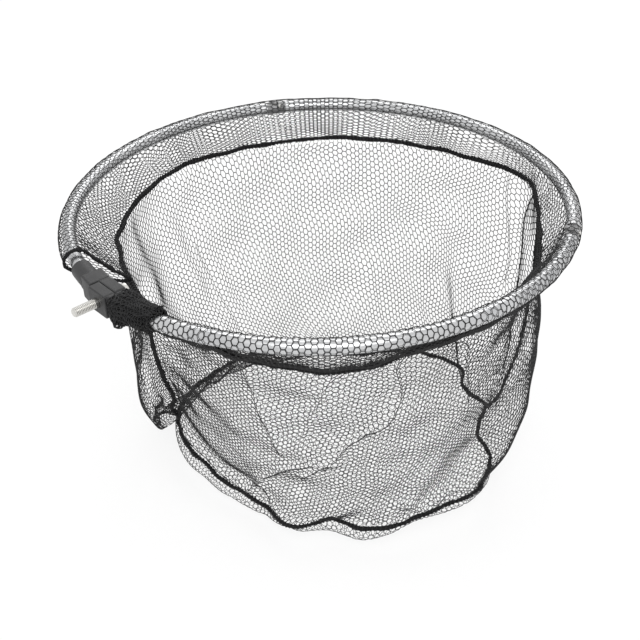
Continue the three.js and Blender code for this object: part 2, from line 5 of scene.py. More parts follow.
import bpy
import numpy as np
from mathutils import Matrix, Vector


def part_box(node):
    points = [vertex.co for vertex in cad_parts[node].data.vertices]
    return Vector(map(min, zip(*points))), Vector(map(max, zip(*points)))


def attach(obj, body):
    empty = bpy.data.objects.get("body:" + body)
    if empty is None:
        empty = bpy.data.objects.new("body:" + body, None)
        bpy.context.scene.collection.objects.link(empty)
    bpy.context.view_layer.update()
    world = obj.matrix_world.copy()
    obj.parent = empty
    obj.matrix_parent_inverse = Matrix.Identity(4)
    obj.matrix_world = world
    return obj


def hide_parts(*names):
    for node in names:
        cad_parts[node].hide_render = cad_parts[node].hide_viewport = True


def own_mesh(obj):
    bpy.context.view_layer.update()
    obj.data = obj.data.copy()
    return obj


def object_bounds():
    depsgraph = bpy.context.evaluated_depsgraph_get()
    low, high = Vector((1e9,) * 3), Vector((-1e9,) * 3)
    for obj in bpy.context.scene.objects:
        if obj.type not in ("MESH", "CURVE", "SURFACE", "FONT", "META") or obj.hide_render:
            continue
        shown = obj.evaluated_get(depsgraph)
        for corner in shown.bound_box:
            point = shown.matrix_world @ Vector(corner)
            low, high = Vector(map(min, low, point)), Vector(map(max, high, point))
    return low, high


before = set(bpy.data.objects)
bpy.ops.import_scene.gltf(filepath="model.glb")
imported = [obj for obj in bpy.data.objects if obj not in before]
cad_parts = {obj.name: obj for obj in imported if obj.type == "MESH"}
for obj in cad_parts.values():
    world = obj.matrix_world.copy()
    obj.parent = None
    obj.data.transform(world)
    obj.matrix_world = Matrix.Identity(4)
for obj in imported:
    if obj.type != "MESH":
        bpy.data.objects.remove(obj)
cadBox = [list(corner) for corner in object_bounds()]
print("frame loaded")

# the ring that everything hangs on, as in the CAD
ring = {"centreX": 282.0, "radius": 267.5, "tube": 7.5, "foldX": 415.75, "hingeAngle": 60.0}

photoView = {
    "eye": (-0.37711, -0.73977, 0.52426),
    "right": (0.738782, -0.673565, -0.022626),
    "up": (0.394613, 0.405118, 0.824718),
    "lens": 57.94,
    "sensor": 36.0,
    "far": 20,
}


def addObject(name, data):
    made = bpy.data.objects.new(name, data)
    bpy.context.scene.collection.objects.link(made)
    return made


def addCamera():
    right, up = Vector(photoView["right"]), Vector(photoView["up"])
    data = bpy.data.cameras.new("photoCamera")
    data.lens, data.sensor_width, data.clip_end = photoView["lens"], photoView["sensor"], photoView["far"]
    camera = addObject("photoCamera", data)
    turn = Matrix((right, up, right.cross(up))).transposed().to_4x4()
    camera.matrix_world = Matrix.Translation(photoView["eye"]) @ turn
    bpy.context.scene.camera = camera


addCamera()


# ---- shader writing ----


class Wire:
    # one socket, so that sums on sockets read as sums
    def __init__(self, shading, socket):
        self.shading, self.socket = shading, socket

    def __add__(self, other):
        return self.shading.sum("ADD", self, other)

    def __sub__(self, other):
        return self.shading.sum("SUBTRACT", self, other)

    def __mul__(self, other):
        return self.shading.sum("MULTIPLY", self, other)


class Shading:
    # the node tree of a material or a world, and the shader that its wires feed
    def __init__(self, owner, shader, **fixed):
        owner.use_nodes = True
        self.tree = owner.node_tree
        self.shader = self.tree.nodes[shader]
        for socket, value in fixed.items():
            self.shader.inputs[socket.replace("_", " ")].default_value = value

    def node(self, kind, settings=None, inputs=None, output=0):
        made = self.tree.nodes.new(kind)
        for key, value in (settings or {}).items():
            if key == "stops":
                for place, colour in value[2:]:
                    made.color_ramp.elements.new(place)
                for element, (place, colour) in zip(made.color_ramp.elements, value):
                    element.position, element.color = place, (*colour, 1)
            else:
                setattr(made, key, value)
        for key, value in (inputs or {}).items():
            if isinstance(value, Wire):
                self.tree.links.new(value.socket, made.inputs[key])
            else:
                made.inputs[key].default_value = value
        return Wire(self, made.outputs[output])

    def sum(self, operation, first, second=0.0):
        return self.node("ShaderNodeMath", {"operation": operation}, {0: first, 1: second})

    def feed(self, socket, wire):
        self.tree.links.new(wire.socket, self.shader.inputs[socket])

    def edge(self):
        return self.node("ShaderNodeNewGeometry", output="Pointiness")

    def seen(self):
        # 1 where a ray shows the background straight, mirrored or through something clear
        straight, mirrored, through = (self.node("ShaderNodeLightPath", output=f"Is {kind} Ray")
                                       for kind in ("Camera", "Glossy", "Transmission"))
        return straight + mirrored + through

    def place(self):
        return self.node("ShaderNodeTexCoord", output="Object")

    def noise(self, scale, vector=None, detail=2.0, rough=0.5):
        return self.node("ShaderNodeTexNoise", {}, {
            "Vector": vector or self.place(), "Scale": scale, "Detail": detail,
            "Roughness": rough}, "Fac")

    def band(self, value, low, high, outLow, outHigh):
        return self.node("ShaderNodeMapRange", {"clamp": True}, {
            "Value": value, "From Min": low, "From Max": high,
            "To Min": outLow, "To Max": outHigh})

    def ramp(self, value, *stops):
        return self.node("ShaderNodeValToRGB", {"stops": stops}, {"Fac": value})

    def bump(self, height, strength, distance, under=None):
        inputs = {"Height": height, "Strength": strength, "Distance": distance}
        if under:
            inputs["Normal"] = under
        return self.node("ShaderNodeBump", {}, inputs, "Normal")


class Finish(Shading):
    def __init__(self, name, **fixed):
        self.material = bpy.data.materials.new(name)
        super().__init__(self.material, "Principled BSDF", **fixed)

    def look(self, colour, rough, normal=None):
        for socket, wire in (("Base Color", colour), ("Roughness", rough), ("Normal", normal)):
            if wire:
                self.feed(socket, wire)
        return self.material

    def mixInto(self, share, other):
        # lays another shader over this one
        own = Wire(self, self.shader.outputs[0])
        mixed = self.node("ShaderNodeMixShader", {}, {0: share, 1: own, 2: other})
        self.tree.links.new(mixed.socket, self.tree.nodes["Material Output"].inputs["Surface"])


def threadFinish():
    # black twisted thread: fine fibres, a dusty bloom where it catches the light
    f = Finish("blackThread", Metallic=0.0, Specular_IOR_Level=0.45)
    fibre, cloud = f.noise(2600, detail=3), f.noise(22)
    colour = f.ramp(cloud * 0.6 + fibre * 0.4,
                    (0.3, (0.004, 0.004, 0.0045)), (0.75, (0.016, 0.016, 0.017)))
    return f.look(colour, f.band(fibre, 0.3, 0.7, 0.5, 0.8), f.bump(fibre, 0.5, 0.00012))


def tapeFinish():
    # woven binding: small humps in two directions under a little fuzz
    f = Finish("blackTape", Metallic=0.0, Specular_IOR_Level=0.25)
    where = f.place()
    weave = f.node("ShaderNodeTexVoronoi", {"feature": "SMOOTH_F1"}, {
        "Vector": where, "Scale": 1100.0, "Smoothness": 0.4}, "Distance")
    fuzz, cloud = f.noise(5200, where, 3), f.noise(60, where)
    colour = f.ramp(cloud * 0.7 + weave * 0.3,
                    (0.25, (0.003, 0.003, 0.0035)), (0.8, (0.013, 0.013, 0.014)))
    humps = f.bump(weave, 0.8, 0.0004)
    return f.look(colour, f.band(weave, 0.1, 0.6, 0.95, 0.7), f.bump(fuzz, 0.35, 0.0001, humps))


def plasticFinish():
    # fine spark-eroded grain, with a painted highlight: the edges a little lighter, unevenly
    f = Finish("darkPlastic", Metallic=0.0, Specular_IOR_Level=0.45)
    grain, cloud = f.noise(3800, detail=2), f.noise(70, detail=4)
    # painted highlight: convex edges made lighter in the colour, patchily
    plasticEdgeHighlight = f.band(f.edge(), 0.52, 0.6, 0.0, 0.35) * f.band(cloud, 0.4, 0.6, 0.3, 1.0)
    colour = f.ramp(plasticEdgeHighlight + cloud * 0.3, (0.1, (0.021, 0.021, 0.022)), (0.6, (0.048, 0.048, 0.050)))
    return f.look(colour, f.band(cloud, 0.3, 0.7, 0.42, 0.56), f.bump(grain, 0.3, 0.00008))


def tubeFinish():
    # satin drawn aluminium: faint lines along the tube and a few soft smears
    f = Finish("satinTube", Metallic=1.0)
    x, y, z = (f.node("ShaderNodeSeparateXYZ", {}, {0: f.place()}, k) for k in range(3))
    x = x - ring["centreX"] * 0.001
    heading, reach = f.sum("ARCTAN2", y, x), f.sum("SQRT", x * x + y * y)
    lined = f.node("ShaderNodeCombineXYZ", {}, {0: heading * 3.0, 1: reach * 900.0, 2: z * 900.0})
    lines, smear = f.noise(1.0, lined, 3), f.noise(28, detail=3)
    colour = f.ramp(lines * 0.35 + smear * 0.65,
                    (0.3, (0.50, 0.505, 0.515)), (0.7, (0.68, 0.685, 0.69)))
    return f.look(colour, f.band(lines * 0.5 + smear * 0.5, 0.3, 0.7, 0.2, 0.34),
                  f.bump(lines, 0.12, 0.0001))


def steelFinish(name, light, dark, rough):
    # plated steel, duller and darker down in its grooves: the darker colour there is painted shade
    f = Finish(name, Metallic=1.0)
    fine, cloud = f.noise(1500, detail=3), f.noise(160, detail=2)
    # painted shade: the dark colour goes where pointiness is low, in grooves and recesses
    colour = f.ramp(f.band(f.edge(), 0.42, 0.52, 0.0, 1.0) * 0.8 + cloud * 0.2, (0.1, dark), (0.8, light))
    return f.look(colour, f.band(fine * 0.5 + cloud * 0.5, 0.3, 0.7, rough - 0.06, rough + 0.1),
                  f.bump(fine, 0.15, 0.00006))


def castFinish():
    # dark painted casting, slightly pitted, with a painted highlight: its edges lighter in the colour
    f = Finish("darkCasting", Metallic=0.7)
    pits, cloud = f.noise(1300, detail=3), f.noise(120)
    # the edge mask called worn is a painted highlight, not wear: convex edges made lighter in the colour
    worn = f.band(f.edge(), 0.53, 0.62, 0.0, 0.6)
    colour = f.ramp(worn + cloud * 0.25, (0.1, (0.27, 0.27, 0.272)), (0.75, (0.6, 0.6, 0.6)))
    return f.look(colour, f.band(pits, 0.3, 0.7, 0.36, 0.55), f.bump(pits, 0.3, 0.00012))


finishes = {
    "net": threadFinish(),
    "tape": tapeFinish(),
    "connector_plastic": plasticFinish(),
    "ring_tube": tubeFinish(),
    # each steel's second colour is the painted shade of its grooves
    "stud": steelFinish("studSteel", (0.66, 0.65, 0.62), (0.10, 0.095, 0.09), 0.24),
    "steel": steelFinish("pinSteel", (0.80, 0.79, 0.76), (0.40, 0.39, 0.37), 0.3),
    "hinge_metal": castFinish(),
}
print("finishes made")

# ---- shared shaping ----


def smooth(t):
    t = np.clip(t, 0, 1)
    return t * t * (3 - 2 * t)


def wander(t, seed, slow, fast):
    # a repeatable wavering line over t from 0 to 1 that closes on itself, about -1 to 1
    draw = np.random.default_rng(seed)
    total, weight = np.zeros(np.shape(t)), 0.0
    for k in range(slow, fast + 1):
        size = draw.uniform(0.5, 1.0) / math.sqrt(k)
        total = total + size * np.sin(2 * np.pi * (k * np.asarray(t) + draw.uniform()))
        weight += size * size
    return total / math.sqrt(2 * weight) * 1.2


def waver(t, settings):
    # settings hold the size, the seed, and the slowest and fastest wave
    size, *waves = settings
    return size * wander(t, *waves)


def unit(vectors):
    return vectors / np.maximum(np.linalg.norm(vectors, axis=-1, keepdims=True), 1e-9)


def degreesFrom(start, angle):
    # from -180 to 180
    return (np.asarray(angle, float) - start + 180) % 360 - 180


def outwardAt(angle):
    a = np.radians(angle)
    return np.stack([np.cos(a), np.sin(a), angle * 0], -1)


def circle(radius, sides):
    turn = np.linspace(0, 2 * np.pi, sides, endpoint=False)
    return radius * np.stack([np.cos(turn), np.sin(turn)], -1)


def onRing(angle, radius, z):
    a = np.radians(angle)
    return np.stack(np.broadcast_arrays(
        ring["centreX"] + radius * np.cos(a), radius * np.sin(a), z), -1)


def roundedTable(rows, spread):
    # (angle, value, value) rows to a closed line of values for each half degree, corners eased
    rows, step = np.array(sorted(rows), float), 0.5
    grid = np.arange(-180, 180, step)
    angles = np.concatenate([rows[:, 0] - 360, rows[:, 0], rows[:, 0] + 360])
    shifts = range(-30, 31)
    weights = np.exp(-((np.array(shifts) * step / spread) ** 2))
    lines = []
    for column in (1, 2):
        line = np.interp(grid, angles, np.tile(rows[:, column], 3))
        lines.append(sum(w * np.roll(line, k) for w, k in zip(weights, shifts)) / weights.sum())
    return grid, lines


def lookUp(table, angle):
    grid, lines = table
    full = np.append(grid, 180)
    return [np.interp(degreesFrom(0, angle), full, np.append(line, line[0])) for line in lines]


def solidFrom(name, points, faces, finish, uv=None, sharp=None):
    mesh = bpy.data.meshes.new(name)
    mesh.from_pydata((np.asarray(points) * 0.001).tolist(), [], faces)
    if uv is not None:
        layer = mesh.uv_layers.new(name="OFBake")
        layer.data.foreach_set("uv", np.asarray(uv, np.float32).ravel())
    mesh.polygons.foreach_set("use_smooth", [True] * len(mesh.polygons))
    mesh.materials.append(finishes[finish])
    mesh.update()
    if sharp:
        mesh.set_sharp_from_angle(angle=math.radians(sharp))
    return addObject(name, mesh)


def ringFaces(count, sides, closed=False):
    # four-sided faces from each ring of points to the next; an open row gets its two ends
    here = np.arange(count if closed else count - 1)[:, None] * sides
    there = (here + sides) % (count * sides)
    near = np.arange(sides)[None]
    across = (near + 1) % sides
    quads = np.stack(np.broadcast_arrays(here + near, here + across, there + across, there + near), -1)
    faces = quads.reshape(-1, 4).tolist()
    if not closed:
        faces += [list(range(sides))[::-1], [(count - 1) * sides + k for k in range(sides)]]
    return faces


def sweep(name, path, sideways, upward, section, finish, closed=False, sharp=None):
    # section holds (sideways, upward) offsets, one list for all stations or one for each
    path, section = np.asarray(path, float), np.asarray(section, float)
    if section.ndim == 2:
        section = np.broadcast_to(section, (len(path), *section.shape))
    points = path[:, None] + sideways[:, None] * section[..., :1] + upward[:, None] * section[..., 1:]
    faces = ringFaces(*section.shape[:2], closed)
    return solidFrom(name, points.reshape(-1, 3), faces, finish, sharp=sharp)


def turned(name, axisFrom, axis, profile, finish, sides=48, sharp=35):
    # profile holds (along, radius) pairs; both ends are closed
    axis = Vector(axis).normalized()
    first = axis.orthogonal().normalized()
    second = axis.cross(first)
    turn = np.linspace(0, 2 * np.pi, sides, endpoint=False)
    wheel = np.outer(np.cos(turn), first) + np.outer(np.sin(turn), second)
    points = [np.array(axisFrom) + np.array(axis) * along + wheel * radius for along, radius in profile]
    return solidFrom(name, np.concatenate(points), ringFaces(len(profile), sides), finish, sharp=sharp)


def joined(name, parts):
    # one object from several, its mesh kept
    bpy.ops.object.select_all(action="DESELECT")
    for part in parts:
        part.select_set(True)
    bpy.context.view_layer.objects.active = parts[0]
    bpy.ops.object.join()
    parts[0].name = parts[0].data.name = name
    return parts[0]


def seat(piece, body, nodes=(), slot=None):
    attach(piece, body)
    if nodes:
        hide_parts(*nodes)
    slot or piece.data.materials[0].name
    return piece


# ---- the knotless net: a welded lattice of six-sided holes laid on any surface ----

corners = np.array([(2, 0), (1, 1), (-1, 1), (-2, 0), (-1, -1), (1, -1)])
cornerReach = 1.155  # a hole's corner from the strand's middle, over half the strand
smallestHole = 0.42  # share of a cell that a strand may fill from each side


def netOn(name, columns, rows, place, thread, around=False, keep=None, finish="net"):
    # place(u, v) gives points of the surface; thread is the strand's thickness there
    i, j = (a.ravel() for a in np.meshgrid(np.arange(columns), np.arange(rows), indexing="ij"))
    x = 3 * i[:, None] + corners[:, 0]
    y = (2 * j + 1 + i % 2)[:, None] + corners[:, 1]
    width = 3 * columns if around else 3 * columns + 1
    shift = 0 if around else 2
    if keep is not None:
        chosen = keep(place((3 * i + shift) / width, (2 * j + 1 + i % 2) / (2 * rows + 1)))
        x, y = x[chosen], y[chosen]
    # corners that cells share are found by their place in the lattice
    tall = 100000
    key = ((x + shift) % width if around else x + shift) * tall + y
    nodes, index = np.unique(key, return_inverse=True)
    index = index.reshape(x.shape)
    u, v = (nodes // tall) / width, (nodes % tall) / (2 * rows + 1)
    points, count, step = place(u, v), len(nodes), 0.0006
    alongU = place(u + step, v) - place(u - step, v)
    alongV = place(u, np.clip(v + step, 0, 1)) - place(u, np.clip(v - step, 0, 1))
    normal = unit(np.cross(alongU, alongV))
    half = (thread(points) if callable(thread) else np.full(count, thread))[:, None] / 2
    cell = points[index]
    inward = cell.mean(1, keepdims=True) - cell
    length = np.maximum(np.linalg.norm(inward, axis=2, keepdims=True), 1e-6)
    hole = cell + inward / length * np.minimum(half[index] * cornerReach, length * smallestHole)
    cells = len(cell)
    top, holes = index, 2 * count + np.arange(cells * 6).reshape(cells, 6)
    nextTop, nextHole = np.roll(top, -1, 1), np.roll(holes, -1, 1)
    upper = np.stack([top, nextTop, nextHole, holes], -1).reshape(-1, 4)
    lower = np.stack([holes, nextHole, nextTop + count, top + count], -1).reshape(-1, 4)
    flat = np.stack([(x + shift) / width, y / (2 * rows + 1)], -1)
    inner = flat + (flat.mean(1, keepdims=True) - flat) * 0.2
    nextFlat, nextInner = np.roll(flat, -1, 1), np.roll(inner, -1, 1)
    uvUpper = np.stack([flat, nextFlat, nextInner, inner], -2).reshape(-1, 4, 2)
    uvLower = np.stack([inner, nextInner, nextFlat, flat], -2).reshape(-1, 4, 2)
    # strands with a cell on one side only are closed along their outer side
    a, b = top.ravel(), nextTop.ravel()
    alone = ~np.isin(a * count + b, b * count + a)
    edge = np.stack([b, a, a + count, b + count], -1)[alone]
    fa, fb = flat.reshape(-1, 2)[alone], nextFlat.reshape(-1, 2)[alone]
    uvEdge = np.stack([fb, fa, fa, fb], -2)
    vertices = np.concatenate([points + normal * half, points - normal * half, hole.reshape(-1, 3)])
    faces = np.concatenate([upper, lower, edge]).tolist()
    uv = np.clip(np.concatenate([uvUpper, uvLower, uvEdge]) * 0.98 + 0.01, 0, 1)
    return solidFrom(name, vertices, faces, finish, uv)


# ---- the rim: where the binding runs ----

rim = {
    "ease": 3.0,
    "waverOut": (1.1, 11, 9, 40),
    "waverUp": (0.9, 12, 7, 36),
    # angle about the ring's centre, radius, height
    "line": [
        (-176, 219, -40), (-166, 223, -41), (-156, 233, -41), (-151, 239, -41), (-142, 239, -41),
        (-136, 246, -41), (-132, 252, -41), (-125, 247, -41), (-118, 244, -41), (-113, 236, -41),
        (-108, 234, -41), (-102, 235, -41), (-93, 239, -41), (-84, 238, -41), (-74, 234, -40),
        (-67, 235, -39), (-57, 236, -38), (-49, 238, -37), (-38, 242, -36), (-30, 250, -33),
        (-26, 256, -31), (-21, 263, -28),
        (-17, 263, -28), (-12, 260, -30), (-6, 257, -34), (4, 252, -35), (23, 246, -35), (44, 243, -35),
        (60, 238, -35), (73, 240, -36), (85, 242, -36), (93, 241, -36), (100, 239, -36),
        (106, 235, -36), (112, 232, -36), (120, 228, -36), (127, 225, -36), (133, 224, -36),
        (138, 226, -37), (145, 220, -37), (152, 218, -37), (160, 217, -38), (168, 218, -40),
    ],
}
rimTable = roundedTable(rim["line"], rim["ease"])


def strand(worn, stout):
    # the net is stoutest on the side it is dragged along
    dragged = math.radians(-130)

    def thickness(points):
        angle = np.arctan2(points[..., 1], points[..., 0] - ring["centreX"])
        return worn + (stout - worn) * smooth(np.cos(angle - dragged) + 0.45)

    return thickness


def rimLine(angle):
    radius, z = lookUp(rimTable, angle)
    share = (np.asarray(angle) + 180) / 360
    return radius + waver(share, rim["waverOut"]), z + waver(share, rim["waverUp"])


# ---- the bag: a hanging wall and its base ----

bag = {
    "columns": 300, "rows": 41,
    "baseCentre": (266.0, -39.0), "baseEase": 2.2,
    # angle about the base's centre, radius, height of the base seam
    "baseLine": [
        (-178, 159, -277), (-163, 157, -279), (-156, 171, -277), (-151, 179, -275), (-146, 182, -272),
        (-141, 172, -271), (-135, 165, -270), (-129, 174, -271), (-124, 184, -271), (-116, 187, -271),
        (-107, 186, -268), (-98, 190, -265), (-87, 198, -266), (-75, 194, -272), (-66, 189, -276),
        (-58, 178, -278), (-52, 164, -277), (-41, 172, -274), (-34, 184, -274), (-27, 172, -275),
        (-20, 167, -276), (-12, 188, -275), (-6, 186, -272), (3, 180, -276), (11, 184, -283),
        (21, 171, -284), (36, 149, -284), (51, 149, -284), (65, 161, -284), (77, 178, -284),
        (89, 187, -282), (97, 186, -277), (108, 181, -270), (118, 187, -267), (128, 191, -267),
        (133, 193, -268), (142, 188, -270), (158, 177, -269), (166, 168, -269), (176, 165, -273),
    ],
    # where rim angles arrive on the base seam: the two side seams and the turn between them
    "rimTo": [(-183, -225), (-165, -184), (-33, -35), (177, 135)],
    "wallThread": (0.97, 0.92),
    "baseThread": 0.68,
    # angle, how full that side hangs (1 goes straight to the base, 12 keeps the rim's width
    # for long), its spare length, how far its springiness holds it out and how low
    "hang": [(-180, 1.05, 1.0, 0, 1), (-172, 1.9, 1.01, 0.05, 2), (-165, 1.6, 1.01, 0, 2),
             (-150, 1.15, 1.0, 0, 2), (-115, 1.5, 1.0, 0, 1), (-80, 2.6, 1.005, 0, 1),
             (-60, 5.0, 1.01, 0.1, 0.6), (-47, 6.5, 1.005, 0.16, 0.4), (-39, 3, 1.0, 0.05, 0.4),
             (-33, 1.0, 1.0, 0, 1), (-26, 3.0, 1.0, 0, 1), (-8, 4.5, 1.01, 0.05, 1),
             (90, 5, 1.02, 0, 2), (110, 8, 1.03, 0, 2), (130, 9, 1.04, 0, 1.5),
             (150, 12, 1.06, 0.08, 1.4), (163, 13, 1.11, 0.3, 1.2), (170, 6, 1.07, 0.2, 1.2),
             (176, 1.05, 1.0, 0, 1)],
    "seams": {"front": -33.0, "back": 177.0},
    "taut": 4.0,  # how far from a seam the lattice stays even, in degrees
    "edges": (0.02, 0.015),  # depth over which it comes to rest at the rim and at the base
    "degree": 4.2,  # net round the wall for each degree, in mm
    "depth": 265.0,
    "cut": {"rear": (1.02, 0.265), "front": (0.49, 0.265)},
}

hang = {
    "columns": 176, "rows": 28, "steps": 170, "sweeps": 7,
    "weight": 0.22, "glide": 0.97,
    "ripple": (5, 21, 9, 30),
    "uneven": 0.6,
    "seed": 5,
    # how firmly each kind of cord holds against stretching and squeezing
    "down": (1.0, 0.12),
    "across": (1.0, 0.10),
    "slanting": (0.25, 0.03),
    "bendDown": (0.0, 0.14),
    "bendAcross": (0.0, 0.12),
    # where the settled ripples are ironed out, so that only the creases named below are
    # kept: from and over how many degrees, to and over how many, how much of them
    "ironed": [(-178, 14, -34, 14, 1.0), (-20, 14, 152, 12, 0.6), (138, 12, 174, 8, 0.4)],
    "ironing": 26,
}
baseTable = roundedTable(bag["baseLine"], bag["baseEase"])


def basePoint(angle):
    radius, z = lookUp(baseTable, angle)
    a = np.radians(angle)
    cx, cy = bag["baseCentre"]
    return np.stack([cx + radius * np.cos(a), cy + radius * np.sin(a), z], -1)


def baseAngle(rimAngle):
    rimSide, baseSide = zip(*bag["rimTo"])
    a = (np.asarray(rimAngle, float) + 183) % 360 - 183
    return np.interp(a, rimSide, baseSide)


def pairs(first, second, rest, kind):
    rest = np.broadcast_to(rest, first.shape).ravel()[:, None]
    return first.ravel(), second.ravel(), rest, *hang[kind]


def fullWall(angle, t):
    # the wall before it settles, t from 0 at the rim to 1 at the base seam
    radius, z = rimLine(angle)
    top, bottom = onRing(angle, radius, z - 2.5), basePoint(baseAngle(angle))
    stops = np.array(bag["hang"] + [(180, *bag["hang"][0][1:])], float)
    power, spare, spring, low = (np.interp(angle, stops[:, 0], stops[:, k]) for k in (1, 2, 3, 4))
    inward = t[:, None] ** power
    share = np.stack([inward, inward, np.broadcast_to(t[:, None], inward.shape)], -1)
    return top, bottom, top + (bottom - top) * share, spare, spring * t[:, None] ** low


def hangWall():
    # a grid of cords hung between rim and base seam, settled under its own weight
    columns, rows = hang["columns"], hang["rows"]
    angle = np.arange(columns) / columns * 360 - 180
    t = np.linspace(0, 1, rows + 1)[:, None, None]
    top, bottom, points, spare, spring = fullWall(angle, t[:, 0, 0])
    drop = np.linalg.norm(np.diff(points, axis=0), axis=2).sum(0) * spare / rows
    outward, draw = outwardAt(angle), np.random.default_rng(hang["seed"])
    ripple = waver(angle / 360, hang["ripple"])[None, :, None]
    ripple = ripple + draw.normal(0, hang["uneven"], (rows + 1, columns, 1))
    points = points + outward * np.sin(np.pi * t) * ripple * t
    points[0], points[-1] = top, bottom
    alongTop = np.linalg.norm(np.roll(top, -1, 0) - top, axis=1)
    spacing = np.linalg.norm(np.roll(points, -1, 1) - points, axis=2)
    spacing = np.maximum(spacing, alongTop * 0.7)
    slope = np.hypot(drop, alongTop * 0.9)
    index = np.arange((rows + 1) * columns).reshape(rows + 1, columns)
    right, far = np.roll(index, -1, 1), np.roll(index, -2, 1)
    batches = []
    for k in (0, 1):
        batches.append(pairs(index[k:-1:2], index[k + 1::2], drop, "down"))
        batches.append(pairs(index[:, k::2], right[:, k::2], spacing[:, k::2], "across"))
        batches.append(pairs(index[k:-1:2], right[k + 1::2], slope, "slanting"))
        batches.append(pairs(right[k:-1:2], index[k + 1::2], slope, "slanting"))
    for k in range(4):
        batches.append(pairs(index[k:-2:4], index[k + 2::4], 2 * drop, "bendDown"))
        batches.append(pairs(index[:, k::4], far[:, k::4], 2 * spacing[:, k::4], "bendAcross"))
    points = points.reshape(-1, 3)
    free = np.ones((len(points), 1))
    free[:columns] = free[-columns:] = 0
    held = (outward * spring[..., None]).reshape(-1, 3)
    before = points.copy()
    for step in range(hang["steps"]):
        move = (points - before) * hang["glide"]
        before = points.copy()
        points = points + (move + held) * free
        points[:, 2] -= hang["weight"] * free[:, 0]
        for turn in range(hang["sweeps"]):
            for one, two, rest, stretch, squeeze in batches:
                gapTo = points[two] - points[one]
                length = np.maximum(np.linalg.norm(gapTo, axis=1, keepdims=True), 1e-6)
                stiff = np.where(length > rest, stretch, squeeze)
                shares = np.maximum(free[one] + free[two], 1e-9)
                push = gapTo * (stiff * (length - rest) / length / shares)
                points[one] += push * free[one]
                points[two] -= push * free[two]
    points = points.reshape(rows + 1, columns, 3)
    for step in range(3):
        points[1:-1] = (points[:-2] + 2 * points[1:-1] + points[2:]) / 4
    level = points
    for step in range(hang["ironing"]):
        level = (np.roll(level, 1, 1) + 2 * level + np.roll(level, -1, 1)) / 4
    near = sum(share * smooth((angle - low) / easeIn) * smooth((high - angle) / easeOut)
               for low, easeIn, high, easeOut, share in hang["ironed"])
    amount = (near[None, :] * np.sin(np.pi * t[:, :, 0]) ** 0.35)[..., None]
    return points + (level - points) * amount


def spline(before, start, end, after, t):
    return 0.5 * (2 * start + (end - before) * t + (2 * before - 5 * start + 4 * end - after) * t ** 2
                  + (3 * start - before - 3 * end + after) * t ** 3)


wallGrid = hangWall()
print("bag wall hung, lowest", round(float(wallGrid[..., 2].min()), 1))


def wallPoint(u, v):
    # u runs round from -180 degrees at the rim, v from the rim to the base seam
    rows, columns = wallGrid.shape[:2]
    across, down = np.asarray(u) % 1 * columns, np.clip(v, 0, 1) * (rows - 1)
    c, r = np.floor(across).astype(int), np.minimum(np.floor(down).astype(int), rows - 2)
    fc, fr = (across - c)[..., None], (down - r)[..., None]
    lines = []
    for dr in (-1, 0, 1, 2):
        row = np.clip(r + dr, 0, rows - 1)
        lines.append(spline(*(wallGrid[row, (c + dc) % columns] for dc in (-1, 0, 1, 2)), fc))
    return spline(*lines, fr)


# creases in the near wall: width, how closely the net is drawn together along them and how
# far they stand out, in mm; then rim angle and depth from rim (0) to base (1)
creases = [
    (6, 0.8, 3.5, [(-151, 0.0), (-149.5, 0.13), (-148, 0.22), (-146, 0.3), (-144, 0.43), (-142, 0.52)]),
    (5, 0.88, 5.0, [(-115, 0.02), (-114.5, 0.1), (-113.5, 0.23), (-114.5, 0.29), (-116.5, 0.33),
                    (-121.5, 0.36), (-124.5, 0.42), (-127, 0.5), (-130.5, 0.57), (-135.5, 0.655)]),
    (6, 0.85, 5.0, [(-156, 0.97), (-153, 0.89), (-146.5, 0.75), (-142, 0.65), (-137.5, 0.59),
                    (-133.5, 0.555), (-130, 0.545), (-127, 0.563)]),
    (5, 0.8, 3.5, [(-148.5, 0.85), (-147, 0.91), (-144.5, 0.975)]),
    (17, 0.8, 3.0, [(-186, 0.8), (-177, 0.94), (-171.5, 0.96), (-167, 0.97), (-161, 0.975),
                    (-154, 0.98)]),
    (9, 0.78, 4.0, [(-90, 0.95), (-87, 0.92), (-82.5, 0.93), (-77.5, 0.97)]),
    (7, 0.7, 3.0, [(-104.5, 0.88), (-99, 0.93), (-94, 0.985)]),
    (5, 0.78, 3.0, [(-100, 0.0), (-97.5, 0.05), (-94.5, 0.17), (-93.5, 0.27), (-91.5, 0.36)]),
    (6, 0.66, 3.0, [(-130, 0.04), (-132.5, 0.16), (-135, 0.26), (-136, 0.38)]),
    (8, 0.6, 1.0, [(-33, 0.0), (-33, 0.5), (-33, 1.0)]),
    (13, 0.8, 3.0, [(-24, 0.0), (-20, 0.15), (-22, 0.4), (-28, 0.8)]),
    (10, 0.7, -1.0, [(-13, 0.0), (-14, 0.2), (-16, 0.45)]),
    (6, 0.3, 1.2, [(38, 0.25), (36, 0.6), (34, 0.95)]),
    (6, 0.55, 2.0, [(96, 0.3), (93, 0.6), (90, 0.95)]),
    (10, 0.3, 3.0, [(158, 0.1), (156, 0.4), (160, 0.75)]),
    (9, 0.7, 0.0, [(177, 0.0), (177, 0.5), (177, 1.0)]),
]
# slow unevenness of the lattice: waves round the bag, waves down it, shift and swell in mm
slack = [(7, 2.3, 2.2, 1.2), (12, 3.6, 1.5, -0.9), (19, 1.7, 1.2, 0.8), (5, 5.2, 1.6, 1.0)]

# where the net sags out over the base seam: rim angle, depth, how wide and deep, out and down in mm
pouches = [(163, 0.78, 13, 0.17, 6, 14), (170, 0.88, 6, 0.12, 7, 14)]


